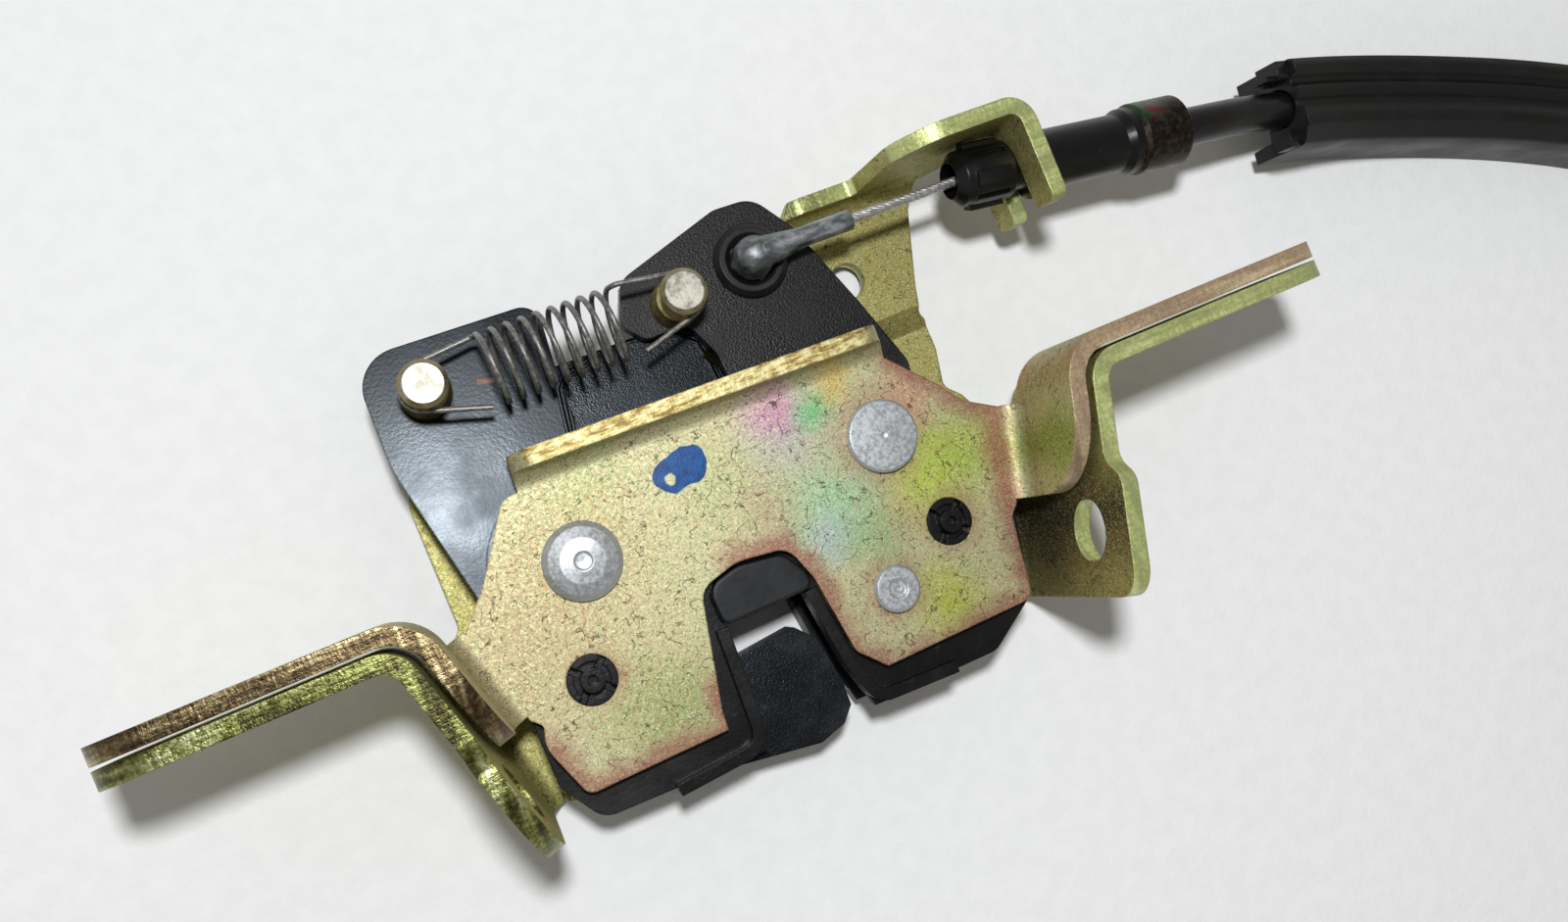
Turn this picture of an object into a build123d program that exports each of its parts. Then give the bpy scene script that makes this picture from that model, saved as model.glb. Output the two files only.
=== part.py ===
"""Seat latch: a claw and a pawl between two riveted sheet-steel plates, released by a cable.

Millimetres. The latch lies on its back plate: +Z points out of the front plate, +X runs along the
mounting wings, and the origin is on the back plate's rear face, midway between the two pivots.
"""

import math
import os

from build123d import *

# Pivots
PIVOT_SPAN = 53.0
CLAW_X = -PIVOT_SPAN / 2
PAWL_X = PIVOT_SPAN / 2

# Sheet metal
SHEET = 2.8
PLATE_GAP = 12.4
FOLD_R = 3.0
BACK_TOP = SHEET
FRONT_UNDER = BACK_TOP + PLATE_GAP
FRONT_TOP = FRONT_UNDER + SHEET

# Tabs and mounting wings
WALL_ANGLE = 16.0
WALL_CENTRE_X = 0.8
WALL_HALF_SPAN = 51.1
WALL_START_Y = -2.5
WALL_LAYER_GAP = 1.2
WING_TOP = 38.0
WING_LEFT = 98.0
WING_RIGHT = 105.4
WING_FRONT_Y = 1.5
WING_LAYER_GAP = 0.6
WING_CORNER_R = 9.0
WING_BOLT_R = 4.25
WING_BOLT_INSET = 17.0
BOLT_HEIGHT = 29.0
FRONT_WALL_LENGTH = 17.5
FRONT_WALL_CORNER_R = 13.0
BACK_WALL_LEFT = 33.6
BACK_WALL_RIGHT = 35.0
LEFT_EAR_CORNER_R = 13.0
RIGHT_EAR_CORNER_R = 5.0
EAR_TOP = 42.4
EAR_START = 13.5
EAR_HOLE_R = 5.2
EAR_HOLE_AT = 24.2
EAR_HOLE_HEIGHT = 30.0

# Front plate
LIP_TOP = 22.6
LIP_Y = 17.0
LIP_ANGLE = -1.6
LIP_LEFT = -31.5
LIP_RIGHT = 32.5
LIP_END_R = 4.4
PIN_X = 32.0
PIN_Y = -17.5
PIN_HOLE_R = 4.0
SLOT_TOP_Y = -9.6
SLOT_FILLET = 3.6

# Cable arm of the back plate
ARM_Y = 43.6
ARM_TOP = 30.5
ARM_END_X = 68.6
ARM_STEP_X = 42.4
ARM_LOW_TOP = 9.0
ARM_RISE = 2.0
FORK_TIP_Y = ARM_Y - 18.4
ARM_CORNER_R = 2.0
LIGHTENING_R = 3.2

# Rivets
BARREL_R = 5.0
TENON_R = 4.0
STOP_X = 18.8
STOP_Y = -24.0
STOP_R = 3.5
STOP_TENON_R = 2.5
CLAW_HEAD_R = 6.3
PAWL_HEAD_R = 6.1
STOP_HEAD_R = 3.9
TAIL_SINK = 1.5
FIT = 0.05

# Claw
RUNNING = 0.08
JAW_LOW = 5.0
JAW_TOP = 11.4
LOBE_LOW = 9.6
LOBE_TOP = 14.6
HUB_R = 14.4
HUB_PAD = 0.3
TOOTH_R = 43.4
TOOTH_ROOT_R = 39.5
SHOULDER_ANGLE = 37.5

# Pawl
LEVER_LOW = 9.6
LEVER_TOP = 14.6
LEVER_PLATE_LOW = 11.8
PAWL_HUB_R = 8.0
TOOTH_RELIEF_R = 45.2
LUG_BITE = 1.3
LUG_ANGLE_TOP = 31.0
LUG_ANGLE_LOW = 24.0
LUG_DEPTH = 6.0

# Spring and its posts
POST_TOP = 25.0
POST_HEAD_R = 3.75
POST_NECK_R = 2.2
POST_NECK_LOW = 19.6
POST_NECK_HIGH = 22.8
CLAW_POST = (-38.6, 33.4)
PAWL_POST = (3.5, 32.9)
SPRING_WIRE = 0.8
SPRING_COIL_R = 6.0
SPRING_LOOP_R = 3.45
SPRING_TURNS = 9
SPRING_DROP = 1.2
TAIL_ANGLE = 17.0
TAIL_LENGTH = 10.0
SPRING_OVERLAP = 0.3
SPRING_Z = 21.3
COIL_START = 9.8
COIL_END = 31.4

# Guides and bumper
GUIDE_SHEET = 1.8
GUIDE_WALL = 2.0
LINER_TOP = 16.9
BUMPER_TOP = 17.3

# Eyelet and cable end
EYELET = (18.2, 35.3)
EYELET_BUSH_R = 6.3
EYELET_BORE_R = 3.7
CABLE_Z = 19.5
END_PIN_R = 3.4
END_BARREL_R = 1.6
END_LENGTH = 17.4
WIRE_R = 0.75
WIRE_LENGTH = 22.4

# Cable fitting and conduit
FITTING_INSET = 9.4
FITTING = (ARM_END_X - SHEET / 2, ARM_Y - FITTING_INSET, CABLE_Z)
FITTING_YAW = -6.0
FITTING_PITCH = -3.0
FITTING_R = 5.2
FITTING_BORE_R = 3.0
NECK_R = 4.0
NECK_PLAY = 0.4
GROOVE_HALF = 2.3
NOSE_LENGTH = 10.4
TUBE_LENGTH = 23.5
COLLAR_R = 6.1
COLLAR_WIDTH = 1.8
FERRULE_R = 6.3
FERRULE_LENGTH = 10.5
CONDUIT_INSET = 1.0
CONDUIT_R = 3.45
SLEEVE_R = 8.1
SLEEVE_PLAY = 0.4
FAR_FITTING_LENGTH = 14.0
FAR_WIRE_SHOWN = 6.0
FAR_WIRE_HIDDEN = 12.0
NIPPLE_R = 3.2
NIPPLE_LENGTH = 6.5

# Route of the conduit's axis after its ferrule, as it lies on the table
CONDUIT_ROUTE = [
    (121.0, 28.9, 14.2),
    (141.0, 25.7, 9.6),
    (162.0, 19.6, 8.4),
    (184.0, 11.8, 8.3),
    (207.0, 1.6, 8.2),
    (228.0, -11.0, 6.6),
    (247.0, -27.0, 4.6),
    (258.0, -49.0, 3.7),
    (257.0, -75.0, 3.8),
    (243.0, -96.0, 4.2),
    (221.0, -107.0, 5.0),
    (198.0, -110.0, 6.4),
]
SLEEVE_FIRST = 2
SLEEVE_LAST = 5
SLEEVE_LEAD = 17.5
SLEEVE_TAIL = 12.0


def polar(centre_x, radius, angle):
    """A point at a radius and angle about a pivot on the X axis."""
    a = math.radians(angle)
    return (centre_x + radius * math.cos(a), radius * math.sin(a))


def slab(points, low, high, fillet_r=0.0):
    """A closed outline, with rounded corners, extruded between two heights."""
    face = make_face(Polyline(*points, close=True))
    if fillet_r:
        face = fillet(face.vertices(), fillet_r)
    return extrude(Plane.XY.offset(low) * face, high - low)


def rounded_slab(corners, low, high):
    """An outline of (x, y, corner radius) points, extruded between two heights."""
    face = make_face(Polyline(*[(x, y) for x, y, r in corners], close=True))
    for x, y, r in corners:
        if r:
            corner = face.vertices().sort_by_distance((x, y, 0))[0]
            face = fillet(corner, r)
    return extrude(Plane.XY.offset(low) * face, high - low)


def post(x, y, radius, low, high):
    """An upright cylinder between two heights."""
    return Pos(x, y, (low + high) / 2) * Cylinder(radius, high - low)


def turned(x, y, profile):
    """A revolved piece on an upright axis, from (radius, height) points that start on the axis."""
    face = make_face(Polyline(*[(r, 0, z) for r, z in profile], close=True))
    return Pos(x, y, 0) * revolve(face, Axis.Z)


def tab_with_wing(side, layer, plate_low, fold_r, wall_length, wing_length, outline, wing_low):
    """One bent tab: a fold up from the plate, a slanted wall and the mounting wing.

    side is -1 or 1, layer counts sheets outwards from the front plate's tab, and outline is the
    wall's side view as (distance along the wall, height) points with a radius each.
    """
    angle = math.radians(WALL_ANGLE)
    down = Vector(math.sin(angle), -math.cos(angle), 0)
    out = Vector(-math.cos(angle), -math.sin(angle), 0)
    start = Vector(-WALL_HALF_SPAN, WALL_START_Y, 0) + out * (layer * (SHEET + WALL_LAYER_GAP))
    wing_y = WING_FRONT_Y - layer * (SHEET + WING_LAYER_GAP)
    fold_top = plate_low + SHEET + fold_r

    section = Plane(origin=start, x_dir=out, z_dir=down * -1)
    ring = Circle(fold_r + SHEET) - Circle(fold_r)
    reach = fold_r + SHEET
    quarter = Pos(reach / 2, -reach / 2) * Rectangle(reach, reach)
    fold = Pos(-fold_r, fold_top) * (ring & quarter)
    upright = Pos(SHEET / 2, (fold_top + EAR_TOP) / 2) * Rectangle(SHEET, EAR_TOP - fold_top)
    wall = extrude(section * (fold + upright), -wall_length)

    elevation = Plane(origin=start + out * 8, x_dir=down, z_dir=out * -1)
    if elevation.y_dir.Z < 0:
        elevation = Plane(origin=start + out * 8, x_dir=down, z_dir=out)
    face = make_face(Polyline(*[(s, z) for s, z, r in outline], close=True))
    for s, z, r in outline:
        if r:
            face = fillet(face.vertices().sort_by_distance((s, z, 0))[0], r)
    trim = extrude(elevation * face, 20, both=True)
    wall = wall & trim

    middle = start + out * (SHEET / 2)
    climb = (wing_y - middle.Y) / math.cos(angle)
    corner = middle - down * climb
    fold_mid_r = FOLD_R + SHEET / 2 + (1 - layer) * (SHEET + WING_LAYER_GAP) * 0.8
    lead = fold_mid_r * math.tan(math.radians(90 - WALL_ANGLE) / 2) + 0.6
    first = corner + down * lead
    tip = Vector(-wing_length, wing_y, 0)
    path = FilletPolyline(
        (first.X, first.Y), (corner.X, corner.Y), (tip.X, tip.Y), radius=fold_mid_r
    )
    wing = extrude(Plane.XY.offset(wing_low) * trace(path, SHEET), WING_TOP - wing_low)
    wing_middle = (wing_low + WING_TOP) / 2
    wing_height = WING_TOP - wing_low
    blank = Rectangle(wing_length * 2, wing_height)
    blank = fillet(blank.vertices(), min(WING_CORNER_R, wing_height / 2 - 0.5))
    bolt = Pos(-wing_length + WING_BOLT_INSET, BOLT_HEIGHT - wing_middle) * Circle(WING_BOLT_R)
    profile = Pos(0, wing_middle) * (blank - bolt)
    wing = wing & extrude(Plane.XZ * profile, 20, both=True)
    start_s = (first - start).dot(down)
    overlap_cut = Plane(origin=start + down * start_s, x_dir=out, z_dir=down * -1)
    wall = wall - extrude(overlap_cut * Rectangle(40, 200), 20)
    piece = wall + wing
    if side > 0:
        piece = piece.mirror(Plane.YZ)
    return Pos(WALL_CENTRE_X, 0, 0) * piece


def slot_outline(widen, bottom):
    """The striker slot's outline, widened all round, open towards -Y."""
    return [
        (-17.0 - widen, bottom, 0),
        (-15.2 - widen, -30.0, 0),
        (-11.0 - widen, -11.4 + widen, SLOT_FILLET),
        (-4.0, SLOT_TOP_Y + widen, 8.0),
        (4.6 + widen * 0.4, -10.8 + widen, SLOT_FILLET),
        (6.8 + widen, -17.0, 0),
        (8.6 + widen, -30.6, 3.0),
        (14.0 + widen, -36.4, 0),
        (14.0 + widen, bottom, 0),
    ]


def front_plate():
    """The visible plate: slot, raised lip, two tabs with their wings, and the rivet holes."""
    edge = FOLD_R
    angle = math.radians(WALL_ANGLE)
    left_top = -WALL_HALF_SPAN + edge + WALL_CENTRE_X
    right_top = WALL_HALF_SPAN - edge + WALL_CENTRE_X
    lean = math.tan(angle) * (FRONT_WALL_LENGTH * math.cos(angle))
    foot_y = WALL_START_Y - FRONT_WALL_LENGTH * math.cos(angle)
    outline = [
        (left_top + 0.4, WALL_START_Y - 1.0, 0),
        (-41.5, 2.6, 4.0),
        (-34.2, 13.6, 3.0),
        (LIP_LEFT, LIP_Y - FOLD_R - 0.4, 0),
        (LIP_RIGHT, LIP_Y - FOLD_R - 2.2, 0),
        (39.4, 4.4, 3.0),
        (42.6, 0.2, 3.5),
        (right_top - 0.3, WALL_START_Y - 0.8, 0),
        (right_top - lean + 0.4, foot_y, 0),
        (right_top - lean - 1.2, foot_y - 1.6, 1.0),
        (40.6, -35.0, 2.0),
        (12.4, -35.0, 0),
        (-12.0, -35.0, 0),
        (-12.0, -33.4, 0),
        (-39.0, -33.4, 2.0),
        (-42.4, -24.0, 5.0),
        (left_top + lean + 1.2, foot_y - 1.6, 1.0),
        (left_top + lean - 0.4, foot_y, 0),
    ]
    plate = rounded_slab(outline, FRONT_UNDER, FRONT_TOP)
    plate -= rounded_slab(slot_outline(0, -50.0), FRONT_UNDER - 1, FRONT_TOP + 1)

    lip_frame = Pos(0, LIP_Y, 0) * Rot(0, 0, LIP_ANGLE)
    lip_plane = Plane(origin=(LIP_LEFT, 0, 0), x_dir=(0, 1, 0), z_dir=(1, 0, 0))
    ring = Circle(FOLD_R + SHEET) - Circle(FOLD_R)
    reach = FOLD_R + SHEET
    quarter = Pos(reach / 2, -reach / 2) * Rectangle(reach, reach)
    fold = Pos(-reach, FRONT_TOP + FOLD_R) * (ring & quarter)
    rise = LIP_TOP - FRONT_TOP - FOLD_R
    upright = Pos(-SHEET / 2, FRONT_TOP + FOLD_R + rise / 2) * Rectangle(SHEET, rise)
    tongue = Pos(-reach - 1.5, FRONT_UNDER + SHEET / 2) * Rectangle(3.0, SHEET)
    lip = extrude(lip_plane * (fold + upright + tongue), LIP_RIGHT - LIP_LEFT)
    lip_side = [
        (LIP_LEFT, FRONT_UNDER - 1, 0),
        (LIP_RIGHT, FRONT_UNDER - 1, 0),
        (LIP_RIGHT, LIP_TOP, LIP_END_R),
        (LIP_LEFT, LIP_TOP, LIP_END_R),
    ]
    lip = lip & (Rot(90, 0, 0) * rounded_slab(lip_side, -20, 20))
    plate += lip_frame * Pos(0, SHEET / 2, 0) * lip

    wall_outline = [
        (-30.0, -5.0, 0),
        (FRONT_WALL_LENGTH, -5.0, 0),
        (FRONT_WALL_LENGTH, WING_TOP, FRONT_WALL_CORNER_R),
        (-30.0, WING_TOP, 0),
    ]
    for side, length in ((-1, WING_LEFT), (1, WING_RIGHT)):
        plate += tab_with_wing(
            side, 0, FRONT_UNDER, FOLD_R, FRONT_WALL_LENGTH, length, wall_outline, FRONT_TOP
        )
    for x in (CLAW_X, PAWL_X):
        plate -= post(x, 0, TENON_R + FIT, FRONT_UNDER - 1, FRONT_TOP + 1)
    plate -= post(STOP_X, STOP_Y, STOP_TENON_R + FIT, FRONT_UNDER - 1, FRONT_TOP + 1)
    for x in (-PIN_X, PIN_X):
        plate -= post(x, PIN_Y, PIN_HOLE_R, FRONT_UNDER - 1, FRONT_TOP + 1)
    return plate


def cable_arm():
    """The raised extension of the back plate, and the arm with a forked end that holds the cable."""
    reach = FOLD_R + SHEET
    turn = ARM_CORNER_R + SHEET
    strip_plane = Plane(origin=(0, 0, 0), x_dir=(0, 1, 0), z_dir=(1, 0, 0))
    joggle = [
        (12.0, 0.0),
        (15.5, 0.0),
        (19.5, ARM_RISE),
        (ARM_Y - reach, ARM_RISE),
        (ARM_Y - reach, ARM_RISE + SHEET),
        (19.0, ARM_RISE + SHEET),
        (15.0, SHEET),
        (12.0, SHEET),
    ]
    ring = Circle(reach) - Circle(FOLD_R)
    quarter = Pos(reach / 2, -reach / 2) * Rectangle(reach, reach)
    fold_z = ARM_RISE + reach
    fold = Pos(ARM_Y - reach, fold_z) * (ring & quarter)
    upright = Pos(ARM_Y - SHEET / 2, (fold_z + ARM_TOP) / 2) * Rectangle(SHEET, ARM_TOP - fold_z)
    section = make_face(Polyline(*joggle, close=True)) + fold + upright
    strip = extrude(strip_plane * section, 90)

    plan = [
        (27.0, 10.0, 0),
        (27.0, 38.0, 3.0),
        (31.0, ARM_Y + 1, 0),
        (ARM_END_X - turn, ARM_Y + 1, 0),
        (ARM_END_X - turn, ARM_Y - SHEET - 0.01, 0),
        (56.0, ARM_Y - SHEET - 0.01, 2.5),
        (52.6, 36.0, 4.0),
        (48.3, 22.6, 2.0),
        (47.1, 17.7, 1.5),
        (48.0, 16.4, 1.5),
        (48.1, 10.0, 0),
    ]
    strip = strip & rounded_slab(plan, -1, ARM_TOP + 1)
    elevation = [
        (20.0, -1.0, 0),
        (56.0, -1.0, 0),
        (59.5, 4.2, 3.0),
        (ARM_END_X - turn, 8.6, 0),
        (ARM_END_X, 8.6, 0),
        (ARM_END_X, ARM_TOP, 0),
        (50.5, ARM_TOP, 9.0),
        (ARM_STEP_X + 1.6, 25.5, 5.0),
        (ARM_STEP_X, ARM_LOW_TOP, 1.5),
        (32.0, ARM_LOW_TOP, 4.0),
        (20.0, ARM_LOW_TOP - 6.0, 0),
    ]
    face = make_face(Polyline(*[(x, z) for x, z, r in elevation], close=True))
    for x, z, r in elevation:
        if r:
            face = fillet(face.vertices().sort_by_distance((x, z, 0))[0], r)
    strip = strip & extrude(Plane.XZ * face, 60, both=True)

    corner = (ARM_END_X - SHEET / 2, ARM_Y - SHEET / 2)
    path = FilletPolyline(
        (ARM_END_X - turn, ARM_Y - SHEET / 2),
        corner,
        (ARM_END_X - SHEET / 2, FORK_TIP_Y),
        radius=ARM_CORNER_R + SHEET / 2 - 0.01,
    )
    low = 8.6
    fork = extrude(Plane.XY.offset(low) * trace(path, SHEET), ARM_TOP - low)
    slot_r = NECK_R + NECK_PLAY
    slot = Pos(FITTING[1], CABLE_Z) * Circle(slot_r)
    mouth = Pos(FITTING[1] - 15, CABLE_Z) * Rectangle(30, slot_r * 2)
    fork_plane = Plane(origin=(0, 0, 0), x_dir=(0, 1, 0), z_dir=(1, 0, 0))
    fork -= extrude(fork_plane.offset(ARM_END_X - SHEET - 6) * (slot + mouth), 12)
    tips = fork.edges().filter_by(Axis.X).sort_by(Axis.Y)[:4]
    fork = fillet(tips, 1.6)
    return strip + fork


def back_plate():
    """The rear plate: slot, two tabs with wings and drilled ears, and the cable arm."""
    layer_shift = (SHEET + WALL_LAYER_GAP) / math.cos(math.radians(WALL_ANGLE))
    angle = math.radians(WALL_ANGLE)
    edge = FOLD_R
    left_top = -WALL_HALF_SPAN - layer_shift + edge + WALL_CENTRE_X
    right_top = WALL_HALF_SPAN + layer_shift - edge + WALL_CENTRE_X
    left_lean, right_lean = [math.sin(angle) * w for w in (BACK_WALL_LEFT, BACK_WALL_RIGHT)]
    left_foot, right_foot = [
        WALL_START_Y - w * math.cos(angle) - 0.9 for w in (BACK_WALL_LEFT, BACK_WALL_RIGHT)
    ]
    outline = [
        (left_top - 0.6, WALL_START_Y - 4.5, 0),
        (-47.6, -2.6, 3.0),
        (-47.6, 20.0, 6.0),
        (-40.0, 28.0, 4.0),
        (22.0, 28.0, 0),
        (27.0, 22.0, 0),
        (27.0, 13.0, 0),
        (48.1, 13.0, 0),
        (48.1, 10.7, 4.0),
        (46.7, 3.8, 2.0),
        (49.3, 1.2, 1.0),
        (right_top + 0.6, WALL_START_Y - 4.5, 0),
        (right_top - right_lean - 0.2, right_foot, 0),
        (right_top - right_lean - 3.2, right_foot - 0.6, 1.5),
        (left_top + left_lean + 3.2, left_foot - 0.6, 1.5),
        (left_top + left_lean + 0.2, left_foot, 0),
    ]
    plate = rounded_slab(outline, 0, BACK_TOP)
    plate -= rounded_slab(slot_outline(0, -60.0), -1, BACK_TOP + 1)
    down = Vector(math.sin(angle), -math.cos(angle), 0)
    out = Vector(-math.cos(angle), -math.sin(angle), 0)
    sides = (
        (-1, WING_LEFT, BACK_WALL_LEFT, LEFT_EAR_CORNER_R),
        (1, WING_RIGHT, BACK_WALL_RIGHT, RIGHT_EAR_CORNER_R),
    )
    for side, length, wall, corner_r in sides:
        wall_outline = [
            (-30.0, -5.0, 0),
            (wall, -5.0, 0),
            (wall, EAR_TOP, corner_r),
            (EAR_START + 3.0, EAR_TOP, 3.0),
            (EAR_START, WING_TOP, 3.0),
            (-30.0, WING_TOP, 0),
        ]
        tab = tab_with_wing(
            side, 1, 0, FOLD_R, wall, length, wall_outline, BACK_TOP + FOLD_R + 1.0
        )
        ear = Vector(-WALL_HALF_SPAN, WALL_START_Y, EAR_HOLE_HEIGHT) + down * EAR_HOLE_AT
        drill = extrude(Plane(origin=ear, z_dir=out) * Circle(EAR_HOLE_R), 12)
        if side > 0:
            drill = drill.mirror(Plane.YZ)
        plate += tab - Pos(WALL_CENTRE_X, 0, 0) * drill
    plate += cable_arm()
    plate -= post(36.6, 27.6, LIGHTENING_R, -1, 12)
    for x in (CLAW_X, PAWL_X):
        plate -= post(x, 0, TENON_R + FIT, -1, BACK_TOP + 1)
        sink = [(0, -FIT), (TENON_R + TAIL_SINK + FIT, -FIT), (TENON_R + FIT, TAIL_SINK), (0, TAIL_SINK)]
        plate -= turned(x, 0, sink)
    plate -= post(STOP_X, STOP_Y, STOP_TENON_R + FIT, -1, BACK_TOP + 1)
    sink = [(0, -FIT), (STOP_TENON_R + 1 + FIT, -FIT), (STOP_TENON_R + FIT, 1), (0, 1)]
    plate -= turned(STOP_X, STOP_Y, sink)
    for x in (-PIN_X, PIN_X):
        plate -= post(x, PIN_Y, PIN_HOLE_R, -1, BACK_TOP + 1)
    return plate


def shoulder_rivet(x, y, barrel_r, tenon_r, sink, head):
    """A rivet with a barrel between the plates, a sunk tail and a head of (radius, height) points."""
    profile = [(0, 0), (tenon_r + sink, 0), (tenon_r, sink), (tenon_r, BACK_TOP)]
    profile += [(barrel_r, BACK_TOP), (barrel_r, FRONT_UNDER), (tenon_r, FRONT_UNDER)]
    profile += [(tenon_r, FRONT_TOP)] + [(r, FRONT_TOP + h) for r, h in head]
    return turned(x, y, profile)


def rivets():
    """The two pivot rivets and the small distance rivet."""
    dome = [(CLAW_HEAD_R, 0), (CLAW_HEAD_R, 0.7), (5.4, 1.5), (3.6, 2.1), (1.6, 2.4)]
    dome += [(1.2, 2.2), (0, 2.1)]
    button = [(PAWL_HEAD_R, 0), (PAWL_HEAD_R, 1.3), (5.7, 1.6), (0.6, 1.75), (0, 1.6)]
    small = [(STOP_HEAD_R, 0), (STOP_HEAD_R, 1.2), (3.5, 1.6), (1.7, 1.6), (1.3, 1.3)]
    small += [(0.5, 1.3), (0, 0.9)]
    return {
        "claw_rivet": shoulder_rivet(CLAW_X, 0, BARREL_R, TENON_R, TAIL_SINK, dome),
        "pawl_rivet": shoulder_rivet(PAWL_X, 0, BARREL_R, TENON_R, TAIL_SINK, button),
        "stop_rivet": shoulder_rivet(STOP_X, STOP_Y, STOP_R, STOP_TENON_R, 1, small),
    }


def claw():
    """The rotary claw: hub, hook and finger round the throat, locking tooth, and the spring lobe."""
    tooth_top = [polar(CLAW_X, TOOTH_R, a) for a in (SHOULDER_ANGLE, 40.0, 42.5, 45.0)]
    root = [polar(CLAW_X, TOOTH_ROOT_R, a) for a in (22.0, 26.0, 31.0, SHOULDER_ANGLE - 1.0)]
    jaw = [
        (-24.0, 30.7),
        (-35.0, 8.0),
        (-39.5, -5.0),
        (-36.0, -15.0),
        (-27.5, -24.0),
        (-25.0, -32.0),
        (-21.0, -39.6),
        (-1.0, -43.1),
        (3.7, -41.8),
        (6.0, -39.4),
        (6.1, -34.5),
        (4.9, -27.0),
        (2.0, -23.8),
        (-8.0, -24.6),
        (-11.6, -22.8),
        (-11.6, -19.6),
        (-8.0, -17.9),
        (2.2, -17.9),
        (4.2, -15.9),
        (3.0, -13.0),
        (-6.0, -8.0),
        (-7.0, 0.0),
        (0.0, 9.0),
    ]
    body = slab(jaw + root + tooth_top, JAW_LOW, JAW_TOP)
    corners = body.edges().filter_by(Axis.Z)
    body = fillet(corners.filter_by(lambda e: e.center().X < 1.5 and e.center().Y < -26), 1.6)
    body += post(CLAW_X, 0, HUB_R, JAW_LOW, JAW_TOP)
    lobe = [
        (-18.4, 30.7, 0),
        (-17.3, 41.0, 3.2),
        (-47.3, 41.9, 6.5),
        (-47.6, 24.0, 12.0),
        (-42.6, -2.0, 0),
        (CLAW_X, -6.0, 0),
        (-18.0, 6.0, 6.0),
        (-18.8, 24.0, 6.0),
    ]
    body += rounded_slab(lobe, LOBE_LOW, LOBE_TOP)
    body += post(CLAW_X, 0, HUB_R, JAW_LOW, LOBE_TOP)
    body += post(CLAW_X, 0, HUB_R, LOBE_TOP - 0.5, LOBE_TOP + HUB_PAD)
    body -= post(CLAW_X, 0, HUB_R - 1.6, LOBE_TOP, LOBE_TOP + 1)
    body -= post(CLAW_X, 0, BARREL_R + RUNNING, JAW_LOW - 1, LOBE_TOP + 2)
    body -= post(*CLAW_POST, POST_NECK_R + FIT, LOBE_LOW - 1, LOBE_TOP + 1)
    return body


def pawl_lever():
    """The release lever: hub, eyelet and post bosses, relief over the claw's tooth, locking lug."""
    outline = [
        (PAWL_X + 1.0, -PAWL_HUB_R, 7.0),
        (PAWL_X + PAWL_HUB_R, -3.0, 5.0),
        (37.6, 10.0, 4.0),
        (33.4, 22.5, 0),
        (27.4, 38.4, 5.0),
        (22.6, 45.2, 5.0),
        (15.6, 45.4, 5.0),
        (-3.4, 39.6, 4.0),
        (-6.2, 32.8, 2.5),
        (-3.0, 29.0, 2.5),
        (4.2, 29.4, 3.5),
        (7.0, 23.0, 4.0),
        (7.4, 14.0, 6.0),
        (PAWL_X - PAWL_HUB_R, 2.0, 6.0),
        (PAWL_X - 5.6, -PAWL_HUB_R + 1.4, 3.0),
    ]
    lever = rounded_slab(outline, LEVER_LOW, LEVER_TOP)
    lever -= post(CLAW_X, 0, TOOTH_RELIEF_R, LEVER_LOW - 1, LEVER_PLATE_LOW)
    under_post = [(-10.0, 31.6), (12.0, 31.6), (12.0, 22.0), (-10.0, 22.0)]
    lever -= slab(under_post, LEVER_LOW - 1, LEVER_PLATE_LOW)
    lever += post(PAWL_X, 0, PAWL_HUB_R, JAW_LOW, LEVER_TOP)
    inner = TOOTH_R - LUG_BITE
    outer = inner + LUG_DEPTH
    lug = [polar(CLAW_X, r, a) for r, a in (
        (inner, LUG_ANGLE_TOP),
        (inner, (LUG_ANGLE_TOP + LUG_ANGLE_LOW) / 2),
        (inner + 0.4, LUG_ANGLE_LOW),
        (outer, LUG_ANGLE_LOW),
        (outer, LUG_ANGLE_TOP),
    )]
    lever += slab(lug, JAW_LOW, LEVER_PLATE_LOW + 0.5)
    lever -= post(PAWL_X, 0, BARREL_R + RUNNING, JAW_LOW - 1, LEVER_TOP + 1)
    lever -= post(*EYELET, EYELET_BORE_R + 1.0 + FIT, LEVER_LOW - 1, LEVER_TOP + 1)
    lever -= post(*PAWL_POST, POST_NECK_R + FIT, LEVER_LOW - 1, LEVER_TOP + 1)
    return lever


def spring_post(place, foot):
    """A headed post pressed into a lever, with the groove that holds a spring leg."""
    head = POST_HEAD_R
    profile = [
        (0, foot),
        (POST_NECK_R, foot),
        (POST_NECK_R, LOBE_TOP),
        (head + 0.4, LOBE_TOP),
        (head + 0.4, LOBE_TOP + 1.0),
        (head - 0.1, POST_NECK_LOW - 0.6),
        (POST_NECK_R, POST_NECK_LOW),
        (POST_NECK_R, POST_NECK_HIGH),
        (head, POST_NECK_HIGH + 0.8),
        (head, POST_TOP - 0.7),
        (head - 0.7, POST_TOP),
        (0, POST_TOP),
    ]
    return turned(*place, profile)


def eyelet_bush():
    """The plastic grommet in the lever's eye."""
    wall = EYELET_BORE_R + 1.0
    profile = [
        (EYELET_BORE_R, LEVER_LOW),
        (wall, LEVER_LOW),
        (wall, LEVER_TOP),
        (EYELET_BUSH_R, LEVER_TOP),
        (EYELET_BUSH_R, LEVER_TOP + 0.9),
        (EYELET_BUSH_R - 0.9, LEVER_TOP + 1.7),
        (EYELET_BORE_R + 0.8, LEVER_TOP + 1.7),
        (EYELET_BORE_R, LEVER_TOP + 1.0),
    ]
    return turned(*EYELET, profile)


def round_wire(path, radius):
    """A round wire swept along a path that starts with a straight run."""
    start = Plane(origin=path @ 0, z_dir=path % 0)
    return sweep(start * Circle(radius), path=path, transition=Transition.RIGHT)


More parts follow.
